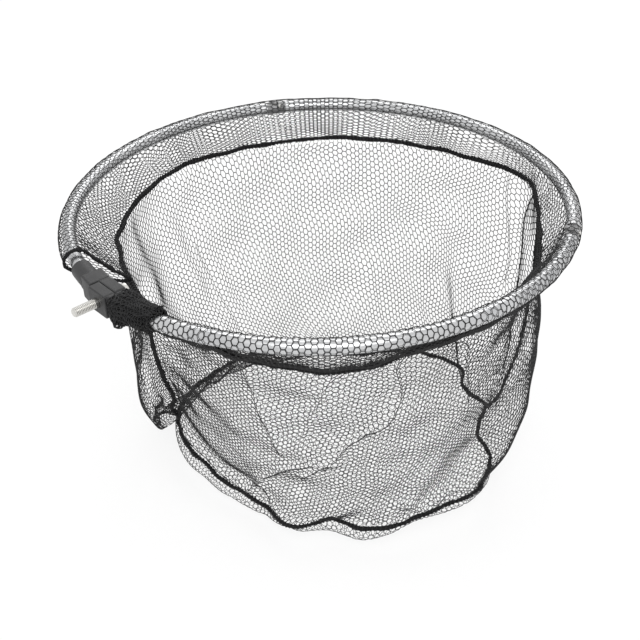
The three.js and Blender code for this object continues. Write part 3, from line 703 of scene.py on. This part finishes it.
def wallPlace(u, v):
    # the lattice drawn towards the creases
    across, depth = (np.asarray(u) * 360) % 360 - 180, np.asarray(v, float)
    wide, deep = bag["degree"], bag["depth"]
    shift, rise, sink = np.zeros((2,) + across.shape), np.zeros(across.shape), np.zeros(across.shape)
    for width, close, proud, line in creases:
        best, gap = np.full(across.shape, 1e9), np.zeros((2,) + across.shape)
        line = np.array(line) * (wide, deep)
        x, y = degreesFrom(line[0, 0] / wide, across) * wide + line[0, 0], depth * deep
        for (x0, y0), (x1, y1) in zip(line[:-1], line[1:]):
            part = ((x - x0) * (x1 - x0) + (y - y0) * (y1 - y0)) / ((x1 - x0) ** 2 + (y1 - y0) ** 2)
            part = np.clip(part, 0, 1)
            dx, dy = x0 + (x1 - x0) * part - x, y0 + (y1 - y0) * part - y
            nearer = np.hypot(dx, dy) < best
            best = np.where(nearer, np.hypot(dx, dy), best)
            gap = np.where(nearer, (dx, dy), gap)
        pull = np.exp(-(best / width) ** 2)
        shift += gap * close * pull
        rise += proud * pull
    loose = 1 - sum(np.exp(-(degreesFrom(seam, across) / bag["taut"]) ** 2)
                    for seam in bag["seams"].values())
    for number, (waves, down, drift, swell) in enumerate(slack):
        phase = np.radians(across) * waves + 1.7 * number
        wave = 2 * np.pi * down * depth + 0.9 * number + 0.7 * np.sin(phase)
        aside = np.array([np.sin(wave) * np.cos(phase), np.cos(wave + 1) * np.sin(phase + 2)])
        shift += loose * drift * aside
        rise += loose * swell * np.sin(wave + 0.5) * np.sin(phase)
    for at, level, wideness, down, out, lower in pouches:
        share = np.exp(-(degreesFrom(at, across) / wideness) ** 2 - ((depth - level) / down) ** 2)
        rise += out * share
        sink += lower * share
    atRim, atBase = bag["edges"]
    edge = smooth(depth / atRim) * smooth((1 - depth) / atBase)
    points = wallPoint(np.asarray(u) + shift[0] * edge / wide / 360, depth + shift[1] * edge / deep)
    out = points - np.array([ring["centreX"], 0, 0])
    out[..., 2] = 0
    points = points + unit(out) * (rise * edge)[..., None]
    points[..., 2] -= sink * edge
    return points


def behindFold(points):
    return points[..., 0] < ring["foldX"]


def beyondFold(points):
    return points[..., 0] >= ring["foldX"]


halves = (("rear", behindFold, "frame"), ("front", beyondFold, "front_arc"))


def coveredArea(piece):
    # half the strands' surface, in square metres
    return sum(p.area for p in piece.data.polygons) / 2


def layNet(piece, body, nodes, flat):
    # the strands' area, held between three tenths of the cut's length by its width and the whole of it,
    # is worked out but not kept; the strands' own area is printed beside the whole
    seat(piece, body, nodes, "net")
    whole, covered = flat[0] * flat[1], coveredArea(piece)
    min(max(covered, 0.302 * whole), whole)
    print(piece.name, len(piece.data.polygons), "faces cover", round(covered, 4), "of", round(whole, 4))
    return piece


def flattenWith(piece):
    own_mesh(piece)


def addBagWall():
    for place, test, body in halves:
        wall = netOn(f"wall_net_{place}", bag["columns"], bag["rows"], wallPlace,
                     strand(*bag["wallThread"]), around=True, keep=test)
        flattenWith(layNet(wall, body, [f"bag_wall_{place}"], bag["cut"][place]))


base = {
    "columns": 86, "rows": 78,
    "width": 452.0, "length": 466.0,
    "sag": 11.0, "crease": 2.6,
    "waver": (1.0, 31, 7, 19),
    # angle, how much net is spare there and rolls out below the seam, in mm
    "roll": [(-175, 15), (-165, 14), (-157, 8), (-150, 3), (-143, 8), (-134, 16), (-127, 16), (-118, 10),
             (-108, 5), (-96, 9), (-86, 8), (-76, 9), (-64, 5), (-50, 6), (-40, 3), (-25, 0),
             (100, 0), (122, 8), (136, 15), (150, 18), (168, 17)],
    "rollOut": 0.45,
    "rollDown": 0.85,
    "level": -272,
    "cut": {"rear": (0.33, 0.36), "front": (0.032, 0.115)},
}


def basePlace(u, v):
    x = (np.asarray(u) - 0.5) * base["width"]
    y = (np.asarray(v) - 0.5) * base["length"]
    angle = np.degrees(np.arctan2(y, x))
    edge, z = lookUp(baseTable, angle)
    spare = np.interp(angle, *zip(*base["roll"]), period=360)
    # along the net from the seam, which rolls out, down and back under before it lies level
    along = np.maximum(edge + spare - np.hypot(x, y), 0)
    turn = along / (0.9 * spare + 3)
    radius = edge - along + spare * (1 - np.exp(-1.4 * turn))
    radius = radius + base["rollOut"] * spare * turn * np.exp(1 - turn)
    share = np.clip(1 - along / (edge + spare), 0, 1)
    px, py = radius * np.cos(np.radians(angle)), radius * np.sin(np.radians(angle))
    level = base["level"] + (z - base["level"]) * share ** 2
    crease = waver(angle / 360, base["waver"]) * share ** 2 * (1 - share) * 4
    roll = np.sin(px * 0.045 + 0.8 * np.sin(py * 0.02)) * np.sin(py * 0.031 + 1.0)
    depth = base["sag"] * (1 - share ** 2) + base["crease"] * (crease + roll * (1 - share ** 4))
    depth = depth + base["rollDown"] * spare * turn * np.exp(1 - turn)
    cx, cy = bag["baseCentre"]
    return np.stack([px + cx, py + cy, level - depth], -1)


def insideBase(points):
    # anything clear of the seam line itself
    cx, cy = bag["baseCentre"]
    x, y = points[..., 0] - cx, points[..., 1] - cy
    edge, z = lookUp(baseTable, np.degrees(np.arctan2(y, x)))
    return np.hypot(np.hypot(x, y) - edge, points[..., 2] - z) > 1.0


def addBase():
    for place, test, body in halves:
        net = netOn(f"base_net_{place}", base["columns"], base["rows"], basePlace, bag["baseThread"],
                    keep=lambda p: insideBase(p) & test(p))
        nodes = ["base_panel"] if place == "rear" else []
        flattenWith(layNet(net, body, nodes, base["cut"][place]))


addBagWall()
addBase()

# ---- the net sleeve round the tube ----

sleeve = {
    "from": -166.7,
    "to": 162.6,
    # angle and degrees from one column of holes to the next
    "spacing": [(-166.7, 1.12), (-80, 1.15), (-50, 1.65), (-5, 1.8), (40, 1.45), (162.6, 1.3)],
    # angle and how much closer the net lies near the binding than on top of the tube
    "bunched": [(-166.7, 0.45), (-140, 0.55), (-95, 0.6), (-66, 0.12), (-5, 0.2), (60, 0.1),
                (162.6, 0.1)],
    "thread": (0.9, 0.84),
    "overHinge": 9.8,
    "hug": 1.0,  # clearance from the tube on the near side
    "loose": 1.5,  # and towards the open mouth
    "looseOver": (-20, 120),  # from where and over how many degrees it gets loose
    "mouthFlare": 3.4,
    "mouthFrom": 120,
    "waver": (0.35, 41, 20, 60),
    "ripple": (0.4, 42, 14, 50),
    "uneven": (0.0035, 43, 5, 18),
    "upperSag": 4.0,
    "lowerSag": 6.0,
    "tip": 1.2,  # half the binding's thickness, where both leaves end
    "hinge": (5.6, 3.0),  # half its length in degrees and the ease at its ends
}


def sleevePoint(angle, share):
    # share runs from the binding up the inner leaf, over the tube and back by the lower leaf
    angle, share = np.broadcast_arrays(np.asarray(angle, float), np.asarray(share, float))
    rimRadius, rimZ = rimLine(angle)
    turn = (angle + 180) / 360
    toMouth = smooth((angle - sleeve["mouthFrom"]) / (sleeve["to"] - sleeve["mouthFrom"]))
    start, over = sleeve["looseOver"]
    toLoose = smooth((angle - start) / over)
    big = ring["tube"] + sleeve["hug"] + (sleeve["loose"] - sleeve["hug"]) * toLoose
    big = big + sleeve["mouthFlare"] * toMouth ** 2 + waver(turn, sleeve["waver"])
    halfHinge, ease = sleeve["hinge"]
    atHinge = smooth((halfHinge - np.abs(np.abs(angle) - ring["hingeAngle"])) / ease)
    big, tip = big + 0.5 * atHinge, sleeve["tip"]
    inward, up = ring["radius"] - rimRadius, rimZ + 1.5
    reach, heading = np.hypot(inward, up), np.arctan2(up, inward)
    spread = np.arccos((big - tip) / reach)
    leaf, arc = np.sqrt(reach ** 2 - (big - tip) ** 2), (2 * np.pi - 2 * spread) * big
    along = share * (2 * leaf + arc)
    first, last = heading + spread, heading - spread + 2 * np.pi
    t1 = np.clip(along / leaf, 0, 1)
    t2 = np.clip((along - leaf) / arc, 0, 1)
    t3 = np.clip((along - leaf - arc) / leaf, 0, 1)
    turnAt = first + (last - first) * t2

    def leafPoint(t, side):
        a = tip * np.cos(side) + inward, tip * np.sin(side) + up
        b = big * np.cos(side), big * np.sin(side)
        return a[0] + (b[0] - a[0]) * t, a[1] + (b[1] - a[1]) * t

    upper, lower = leafPoint(t1, first), leafPoint(1 - t3, last)
    lift = 1 + (sleeve["overHinge"] / big - 1) * atHinge * smooth((np.sin(turnAt) - 0.1) / 0.8)
    onArc, onLower = along > leaf, along > leaf + arc
    round_ = big * lift * np.cos(turnAt), big * lift * np.sin(turnAt)
    x, y = (np.where(onLower, lower[k], np.where(onArc, round_[k], upper[k])) for k in (0, 1))
    ripple = 0.7 + waver(turn, sleeve["ripple"])
    y = y - np.where(onArc, 0, sleeve["upperSag"] * np.sin(np.pi * t1) * ripple)
    y = y - np.where(onLower, sleeve["lowerSag"] * np.sin(np.pi * t3) * ripple, 0)
    return onRing(angle, ring["radius"] - x, y)


def sleeveColumns():
    # where each column of holes comes, and how many there are
    stops = np.array(sleeve["spacing"])
    angle = np.linspace(sleeve["from"], sleeve["to"], 2000)
    count = np.cumsum(1 / np.interp(angle, stops[:, 0], stops[:, 1])) * (angle[1] - angle[0])
    return angle, count / count[-1], int(round(count[-1]))


sleeveAngles, sleeveShares, sleeveCount = sleeveColumns()


def sleevePlace(u, v):
    # the net is drawn together unevenly along the tube, and bunched towards the binding
    u, v = np.asarray(u), np.asarray(v)
    uneven = waver(u, sleeve["uneven"]) * np.sin(np.pi * np.clip(u, 0, 1))
    angle = np.interp(u + uneven, sleeveShares, sleeveAngles)
    bunched = np.interp(angle, *zip(*sleeve["bunched"]))
    return sleevePoint(angle, v - bunched * np.sin(2 * np.pi * v) / (2 * np.pi))


def addSleeves():
    parts = (
        ("back", 27, "frame", lambda p: behindFold(p) & (p[..., 1] > 0), (0.47, 0.135)),
        ("near", 22, "frame", lambda p: behindFold(p) & (p[..., 1] <= 0), (0.49, 0.1)),
        ("front", 26, "front_arc", beyondFold, (0.55, 0.135)),
    )
    for place, rows, body, test, size in parts:
        net = netOn(f"sleeve_net_{place}", sleeveCount, rows, sleevePlace,
                    strand(*sleeve["thread"]), keep=test)
        layNet(net, body, [f"{place}_sleeve"], size)


addSleeves()
print("nets laid")

# ---- bound edges and seams ----

tapes = {
    "binding": {"width": 5.0, "thick": 3.6, "steps": 1100, "lumps": 140, "seed": 51},
    "baseSeam": {"width": 4.4, "thick": 3.4, "steps": 900, "lumps": 110, "seed": 55,
                 "waver": [(1, 56, 12, 60), (1, 57, 12, 60), (0.8, 58, 10, 50)]},
    "sideSeam": {"width": 4.8, "thick": 2.8, "steps": 160, "lumps": 30, "seed": 61, "proud": 0.8},
    "hem": {"width": 4.4, "thick": 3.2, "steps": 200, "lumps": 24, "seed": 75,
            "waver": [(0.4, 71, 3, 12), (0.4, 72, 3, 12), (0.4, 73, 3, 12)]},
    "stitch": {"every": 4.6, "thread": 1.05, "points": 9, "sides": 5, "proud": 0.4, "waver": 0.8},
    "section": {"points": 14, "square": 0.7, "wider": 0.20, "thicker": 0.22, "twist": 0.55,
                "lump": 0.07},
}


def squared(wave, power):
    return np.sign(wave) * np.abs(wave) ** power


def tapeSection(width, thick, share, kind):
    # a folded tape's outline, sideways by upward, swelling and twisting as it goes
    size, seed, fast = tapes["section"], kind["seed"], kind["lumps"]
    turn = np.linspace(0, 2 * np.pi, size["points"], endpoint=False)
    wide = width / 2 * (1 + size["wider"] * wander(share, seed, 8, fast))
    deep = thick / 2 * (1 + size["thicker"] * wander(share, seed + 1, 8, fast))
    twist = (size["twist"] * wander(share, seed + 2, 4, 26))[:, None]
    lumps = 1 + size["lump"] * np.sin((share * 2 * np.pi * fast * 1.7)[:, None] + 3 * turn)
    x = squared(np.cos(turn), size["square"]) * wide[:, None] * lumps
    y = squared(np.sin(turn), size["square"]) * deep[:, None] * lumps
    return np.stack([x * np.cos(twist) - y * np.sin(twist), x * np.sin(twist) + y * np.cos(twist)], -1)


def pathFrames(path, up, closed=False):
    if closed:
        along = np.roll(path, -1, 0) - np.roll(path, 1, 0)
    else:
        along = np.gradient(path, axis=0)
    along = unit(along)
    sideways = unit(np.cross(along, up))
    return sideways, np.cross(sideways, along)


def wavering(share, lines):
    return np.stack([waver(share, line) for line in lines], -1)


def overcast(name, path, sideways, upward, section, seed):
    # one thread wound round the tape, standing a little proud of it
    size = tapes["stitch"]
    steps = np.linalg.norm(np.diff(path, axis=0), axis=1)
    along = np.concatenate([[0], np.cumsum(steps)])
    count = int(along[-1] / size["every"] * size["points"])
    at = np.linspace(size["thread"], along[-1] - size["thread"], count)
    turn = at / size["every"] * 2 * np.pi + size["waver"] * wander(at / along[-1], seed + 5, 9, 60)
    reach = np.abs(section).max(1)
    reach = np.stack([np.interp(at, along, reach[:, k]) for k in (0, 1)], -1) + size["proud"]
    centre, side, rise = (np.stack([np.interp(at, along, line[:, k]) for k in range(3)], -1)
                          for line in (path, sideways, upward))
    wound = (centre + side * (reach[:, :1] * np.cos(turn)[:, None])
             + rise * (reach[:, 1:] * np.sin(turn)[:, None]))
    across, over = pathFrames(wound, np.array([0.3, 0.2, 1.0]))
    return sweep(name, wound, across, over, circle(size["thread"] / 2, size["sides"]), "net")


def addLoopTape(name, path, size, nodes, share):
    # a closed loop of tape, parted where it crosses the fold
    section = tapeSection(size["thick"], size["width"], share, size)
    sideways, upward = pathFrames(path, np.array([0.0, 0, 1]), closed=True)
    beyond = beyondFold(path)
    start = int(np.argmax(beyond & ~np.roll(beyond, 1)))
    order, count = np.roll(np.arange(len(path)), -start), int(beyond.sum())
    pieces = []
    for place, chosen, body in (("front", order[:count + 1], "front_arc"),
                                ("rear", np.append(order[count:], order[0]), "frame")):
        lines = path[chosen], sideways[chosen], upward[chosen], section[chosen]
        tape = sweep(f"{name}_{place}", *lines, "tape")
        stitches = overcast(f"{name}_stitches", *lines, size["seed"])
        pieces.append(seat(joined(tape.name, [tape, stitches]), body, nodes[place], "tape"))
    return pieces


def addBindings():
    size = tapes["binding"]
    share = np.arange(size["steps"]) / size["steps"]
    angle = share * 360 - 180
    nodes = {"rear": ["rim_binding_rear"], "front": ["rim_binding_front"]}
    addLoopTape("binding_tape", onRing(angle, *rimLine(angle)), size, nodes, share)
    size = tapes["baseSeam"]
    share = np.arange(size["steps"]) / size["steps"]
    path = basePoint(share * 360 - 180) + wavering(share, size["waver"])
    nodes = {"rear": ["base_seam"], "front": []}
    for tape in addLoopTape("base_seam_tape", path, size, nodes, share):
        flattenWith(tape)


def addSideSeams():
    size = tapes["sideSeam"]
    share = np.linspace(0, 1, size["steps"])
    for place, body in (("back", "frame"), ("front", "front_arc")):
        u = np.full(share.shape, (bag["seams"][place] + 180) / 360)
        path = wallPlace(u, share)
        beside = wallPlace(u + 0.004, share) - wallPlace(u - 0.004, share)
        out = unit(np.cross(np.gradient(path, axis=0), beside))
        out *= np.sign((out * (path - np.array([ring["centreX"], 0, 0]))).sum(1, keepdims=True))
        section = tapeSection(size["width"], size["thick"], share, size)
        outer = path + out * size["proud"]
        tape = sweep(f"{place}_seam_tape", outer, *pathFrames(path, out), section, "tape")
        flattenWith(seat(tape, body, [f"{place}_side_seam"], "tape"))


def addMouthHem():
    size = tapes["hem"]
    share = np.arange(size["steps"]) / size["steps"]
    path = sleevePoint(sleeve["to"], share) + wavering(share, size["waver"])
    end = math.radians(sleeve["to"])
    around = np.broadcast_to(np.array([-math.sin(end), math.cos(end), 0]), path.shape)
    section = tapeSection(size["thick"], size["width"], share, size)
    frames = pathFrames(path, around, closed=True)
    tape = sweep("mouth_hem_tape", path, *frames, section, "tape", closed=True)
    seat(tape, "frame", ["sleeve_mouth_hem"], "tape")


addBindings()
addSideSeams()
addMouthHem()
print("tapes laid")

# ---- net gathered over the near fitting ----

gather = {
    "from": 20.5, "to": 67.0,
    "columns": 17, "rows": 11,
    "layers": (0.8, 1.6, 2.5),
    "thread": 1.7,
    "seed": 80,
    "ends": (2.5, 2.2),  # how unevenly it starts and ends
    "onTop": 3.5,  # how much further it reaches on top
    "shorter": 2.2,  # each layer's step back, for each mm that it lies out
    "block": (13.6, 11.4, 12.5),  # middle, half width and half height of the fitting below it
    "blockEnd": (29, 8),  # where the block ends and over what length the net narrows
    "arm": 10.9,  # radius of the fitting's round arm
    "armEnd": (62.4, 5, 2.2),  # where the arm ends, over what length, and how much thinner it gets
}


def gatherPlace(layer, seed):
    def place(u, v):
        u, v = np.asarray(u), np.asarray(v)
        turn = u * 2 * np.pi
        startSize, endSize = gather["ends"]
        start = gather["from"] + startSize * wander(u, seed + 2, 2, 9)
        end = gather["to"] + gather["onTop"] * np.sin(turn) - gather["shorter"] * layer
        end = end + endSize * wander(u, seed + 3, 2, 9)
        y = -(start + (end - start) * v)
        ringX = ring["centreX"] - np.sqrt(ring["radius"] ** 2 - y ** 2)
        (middle, halfX, halfZ), (blockEnd, narrowing) = gather["block"], gather["blockEnd"]
        armEnd, fade, thinner = gather["armEnd"]
        onBlock = 1 - smooth((-y - blockEnd) / narrowing)
        centreX = middle * onBlock + ringX * (1 - onBlock)
        arm = gather["arm"] - thinner * smooth((-y - armEnd) / fade)
        power = 2 + 6 * onBlock
        lobe = (np.abs(np.cos(turn)) ** power + np.abs(np.sin(turn)) ** power) ** (-1 / power)
        lump = wander(u + 0.31 * v, seed, 3, 7) + 0.7 * wander(u * 0.7 - 0.8 * v, seed + 4, 7, 19)
        out = layer + (0.3 + 0.36 * layer) * np.maximum(lump, -1.0) + 0.4 * np.sin(9 * v + 7 * turn)
        out = np.maximum(out, 0.7)
        x = centreX + (lobe * (halfX * onBlock + arm * (1 - onBlock)) + out) * np.cos(turn)
        z = (lobe * (halfZ * onBlock + arm * (1 - onBlock)) + out) * np.sin(turn)
        return np.stack([x, y, z], -1)
    return place


def addGather():
    layers = []
    for k, layer in enumerate(gather["layers"]):
        layers.append(netOn(f"gather_layer_{k}", gather["columns"] + 2 * k, gather["rows"] + k,
                            gatherPlace(layer, gather["seed"] + 3 * k), gather["thread"], around=True))
    layNet(joined("gathered_layers", layers), "frame", ["gathered_net"], (0.3, 0.042))


addGather()

# ---- metal and plastic ----


def castCopy(name, node, size, body, finish, rounds):
    # the node's own solid with its facets and edges eased, as it comes from a mould; rounds
    # gives radii about the ring's core that stay true, within what distance and where
    made = addObject(name, bpy.data.objects[node].data.copy())
    made.data.materials.clear()
    made.data.materials.append(finishes[finish])
    remesh = made.modifiers.new("even", "REMESH")
    remesh.mode, remesh.voxel_size = "VOXEL", size["voxel"] * 0.001
    ease = made.modifiers.new("ease", "SMOOTH")
    ease.factor, ease.iterations = 0.5, size["passes"]
    deps = bpy.context.evaluated_depsgraph_get()
    mesh = bpy.data.meshes.new_from_object(made.evaluated_get(deps))
    made.modifiers.clear()
    made.data = mesh
    mesh.name = name
    points = np.empty(len(mesh.vertices) * 3, np.float32)
    mesh.vertices.foreach_get("co", points)
    core = np.array([ring["centreX"], 0, 0])
    points = points.reshape(-1, 3).astype(float) * 1000
    x, y, z = (points - core).T
    level = np.hypot(x, y)
    offset = np.stack([level - ring["radius"], z], -1)
    for radius, reach, test in rounds:
        away = np.linalg.norm(offset, axis=1)
        near = (np.abs(away - radius) < reach) & test(points)
        scale = np.where(near, radius / np.maximum(away, 1e-6), 1.0)
        wider = ring["radius"] + offset[:, 0] * scale
        x, y, z = x * wider / level, y * wider / level, z * scale
        level, offset = wider, offset * scale[:, None]
    points = (np.stack([x, y, z], -1) + core) * 0.001
    mesh.vertices.foreach_set("co", points.astype(np.float32).ravel())
    mesh.polygons.foreach_set("use_smooth", [True] * len(mesh.polygons))
    mesh.update()
    seat(made, body, [node], finish)


# ends in mm short of the hinge and of the middle of the fittings
tubing = {"sides": 56, "steps": 160, "sharp": 40, "toHinge": 12.0, "toFitting": 36.0}


def addTubes():
    section, hinge = circle(ring["tube"], tubing["sides"]), ring["hingeAngle"]
    reach = math.degrees(tubing["toHinge"] / ring["radius"])
    end = 180 - math.degrees(tubing["toFitting"] / ring["radius"])
    for name, node, low, high, body in (
            ("back_tube", "back_arm_tube", hinge + reach, end, "frame"),
            ("near_tube", "near_arm_tube", -end, -hinge - reach, "frame"),
            ("front_tube", "front_arc_tube", -hinge + reach, hinge - reach, "front_arc")):
        angle = np.linspace(low, high, tubing["steps"])
        path, outward = onRing(angle, ring["radius"], 0.0), outwardAt(angle)
        up = np.broadcast_to([0.0, 0.0, 1.0], outward.shape)
        tube = sweep(name, path, up, outward, section, "ring_tube", sharp=tubing["sharp"])
        seat(tube, body, [node], "ring_tube")


# arm and collar: radius, how near it a point must lie, and where along the fitting in mm
fitting = {"voxel": 0.42, "passes": 5, "arm": (10.5, 0.35, 35.2), "collar": (11.3, 0.3, 34.2, 37.4)}


def addFittings():
    arm, near, start = fitting["arm"]
    collar, nearCollar, low, high = fitting["collar"]
    rounds = [(arm, near, lambda p: np.abs(p[:, 1]) > start),
              (collar, nearCollar, lambda p: (np.abs(p[:, 1]) > low) & (np.abs(p[:, 1]) < high))]
    for place in ("outer", "inner"):
        castCopy(f"{place}_fitting", f"{place}_lap_fitting", fitting, "frame",
                 "connector_plastic", rounds)


# the faces near the tube's radius stay round, below the top of the ears
hinges = {"voxel": 0.32, "passes": 3, "near": 0.3, "top": 7.6}


def addHinges():
    rounds = [(ring["tube"], hinges["near"], lambda p: p[:, 2] < hinges["top"])]
    for place in ("back", "near"):
        for part, body in (("ears", "frame"), ("tongue", "front_arc")):
            castCopy(f"{place}_{part}", f"{place}_hinge_{part}", hinges, body, "hinge_metal", rounds)


stud = {
    "sides": 72, "sharp": 42, "step": 0.11,
    "length": 25.5, "radius": 4.76,
    "pitch": 1.5875, "depth": 0.62,
    "crest": 0.85,  # where the thread's crest is cut flat
    "plain": 3.0,
    "runOut": 1.2,
    "chamfer": 1.4,
    "shank": [12.0, 27.2],
    # along, half across flats, bevel of the corners
    "head": [(27.2, 8.0, 0.6), (27.6, 8.0, 0.0), (31.8, 8.0, 0.0), (32.5, 8.0, 0.9)],
    "washerAt": 25.3,
    "washer": [(0, 5.0), (0, 9.7), (0.3, 10.0), (1.1, 10.0), (1.4, 9.7), (1.4, 5.0)],
}


def addStud():
    # thread cut as one helical surface, then the plain shank and a six-sided head
    sides, radius, chamfer = stud["sides"], stud["radius"], stud["chamfer"]
    turn = np.linspace(0, 2 * np.pi, sides, endpoint=False)
    along = np.concatenate([np.arange(-stud["length"], 0.05, stud["step"]), stud["shank"]])
    x = along[:, None] + 0 * turn[None]
    phase = (x / stud["pitch"] - turn[None] / (2 * np.pi)) % 1
    ridge = np.clip(1.15 - 2.3 * np.abs(phase - 0.5), 0, stud["crest"]) / stud["crest"]
    cut = smooth((-x - stud["plain"]) / stud["runOut"]) * smooth((x + stud["length"] + 0.2) / 0.6)
    tip = np.clip((chamfer - (x + stud["length"])) / chamfer, 0, 1)
    reach = np.minimum(radius - 0.02 - stud["depth"] * (1 - ridge) * cut, radius - chamfer * 0.95 * tip)
    rings = [np.stack([x, reach * np.cos(turn), reach * np.sin(turn)], -1)]
    for at, across, bevel in stud["head"]:
        flats = across * math.cos(math.pi / 6) / np.cos((turn + np.pi / 6) % (np.pi / 3) - np.pi / 6)
        edge = np.minimum(flats, across - bevel)
        rings.append(np.stack([at + 0 * turn, edge * np.cos(turn), edge * np.sin(turn)], -1)[None])
    rings = np.concatenate(rings)
    made = solidFrom("threaded_stud", rings.reshape(-1, 3), ringFaces(len(rings), sides), "stud",
                     sharp=stud["sharp"])
    seat(made, "frame", ["clamp_bolt"], "steel")
    washer = turned("stud_washer", (stud["washerAt"], 0, 0), (1, 0, 0), stud["washer"], "steel")
    seat(washer, "frame", ["bolt_washer"], "steel")


# (along, radius) of a pin's end and of a rivet's dome, past half the pin or past the surface
pins = {
    "half": 8.3,
    "height": 5.0,
    "end": [(0.8, 0.9), (0.75, 1.5), (0.5, 2.1), (0.15, 2.35), (0.0, 2.2), (0.0, 1.45)],
    "dome": [(-5.9, 1.6), (0, 1.6), (0, 2.5), (0.15, 2.6), (0.45, 2.3), (0.7, 1.6), (0.8, 0.6)],
    "surface": {"ears": 7.5, "tongue": 7.5, "socket": 10.5},
}


def addPins():
    half, hingeY = pins["half"], ring["radius"] * math.sin(math.radians(ring["hingeAngle"]))
    profile = [(-half - a, r) for a, r in pins["end"]] + [(half + a, r) for a, r in pins["end"][::-1]]
    for place, side in (("back", 1), ("near", -1)):
        at = (ring["foldX"], side * hingeY, pins["height"])
        pin = turned(f"{place}_pin", at, (0, 1, 0), profile, "steel")
        seat(pin, "frame", [f"{place}_hinge_pin"], "steel")
        for part, surface in pins["surface"].items():
            low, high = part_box(f"{place}_{part}_rivet")
            at = ((low.x + high.x) * 500, (low.y + high.y) * 500, 0)
            dome = [(surface + a, r) for a, r in pins["dome"]]
            rivet = turned(f"{place}_{part}_dome", at, (0, 0, -1), dome, "steel")
            body = "front_arc" if part == "tongue" else "frame"
            seat(rivet, body, [f"{place}_{part}_rivet"], "steel")


addTubes()
addFittings()
addHinges()
addStud()
addPins()
print("metal and plastic made")

# ---- stage ----

stage = {
    "floorGap": 0.0012,
    "floor": 8.0,
    "world": 0.75,
    "veil": 0.72,
    "white": 1.06,
    # place, size and power
    "lamps": {"keyLamp": ((-0.9, -1.6, 2.2), 1.6, 26.0), "backLamp": ((1.6, 1.2, 1.8), 1.8, 18.0)},
    "aim": (0.28, 0, -0.1),
}


def floorFinish():
    # white paper, brightened where the camera or a shiny part sees it
    f = Finish("whitePaper")
    fibre = f.noise(900, detail=4)
    f.mixInto(f.seen() * stage["veil"], f.node("ShaderNodeEmission", {}, {"Strength": stage["white"]}))
    return f.look(f.ramp(fibre, (0.2, (0.90, 0.90, 0.90)), (0.8, (0.94, 0.94, 0.94))),
                  f.band(fibre, 0.3, 0.7, 0.85, 0.95))


def addStage():
    mesh = bpy.data.meshes.new("floor")
    s, z = stage["floor"], min(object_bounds()[0][2], cadBox[0][2]) - stage["floorGap"]
    mesh.from_pydata([(-s, -s, z), (s, -s, z), (s, s, z), (-s, s, z)], [], [(0, 1, 2, 3)])
    mesh.materials.append(floorFinish())
    floor = addObject("floor", mesh)
    # all white where it is seen, a little darker as a light
    world = bpy.context.scene.world = bpy.data.worlds.new("studio")
    sky = Shading(world, "Background", Color=(1, 1, 1, 1))
    sky.feed("Strength", sky.band(sky.seen(), 0.0, 1.0, stage["world"], 1.0))
    for name, (place, size, power) in stage["lamps"].items():
        data = bpy.data.lights.new(name, "AREA")
        data.size, data.energy = size, power
        lamp = addObject(name, data)
        lamp.location = place
        lamp.rotation_euler = (Vector(stage["aim"]) - Vector(place)).to_track_quat("-Z", "Y").to_euler()
    bpy.context.scene.view_settings.view_transform = "Standard"


addStage()
print("stage set")
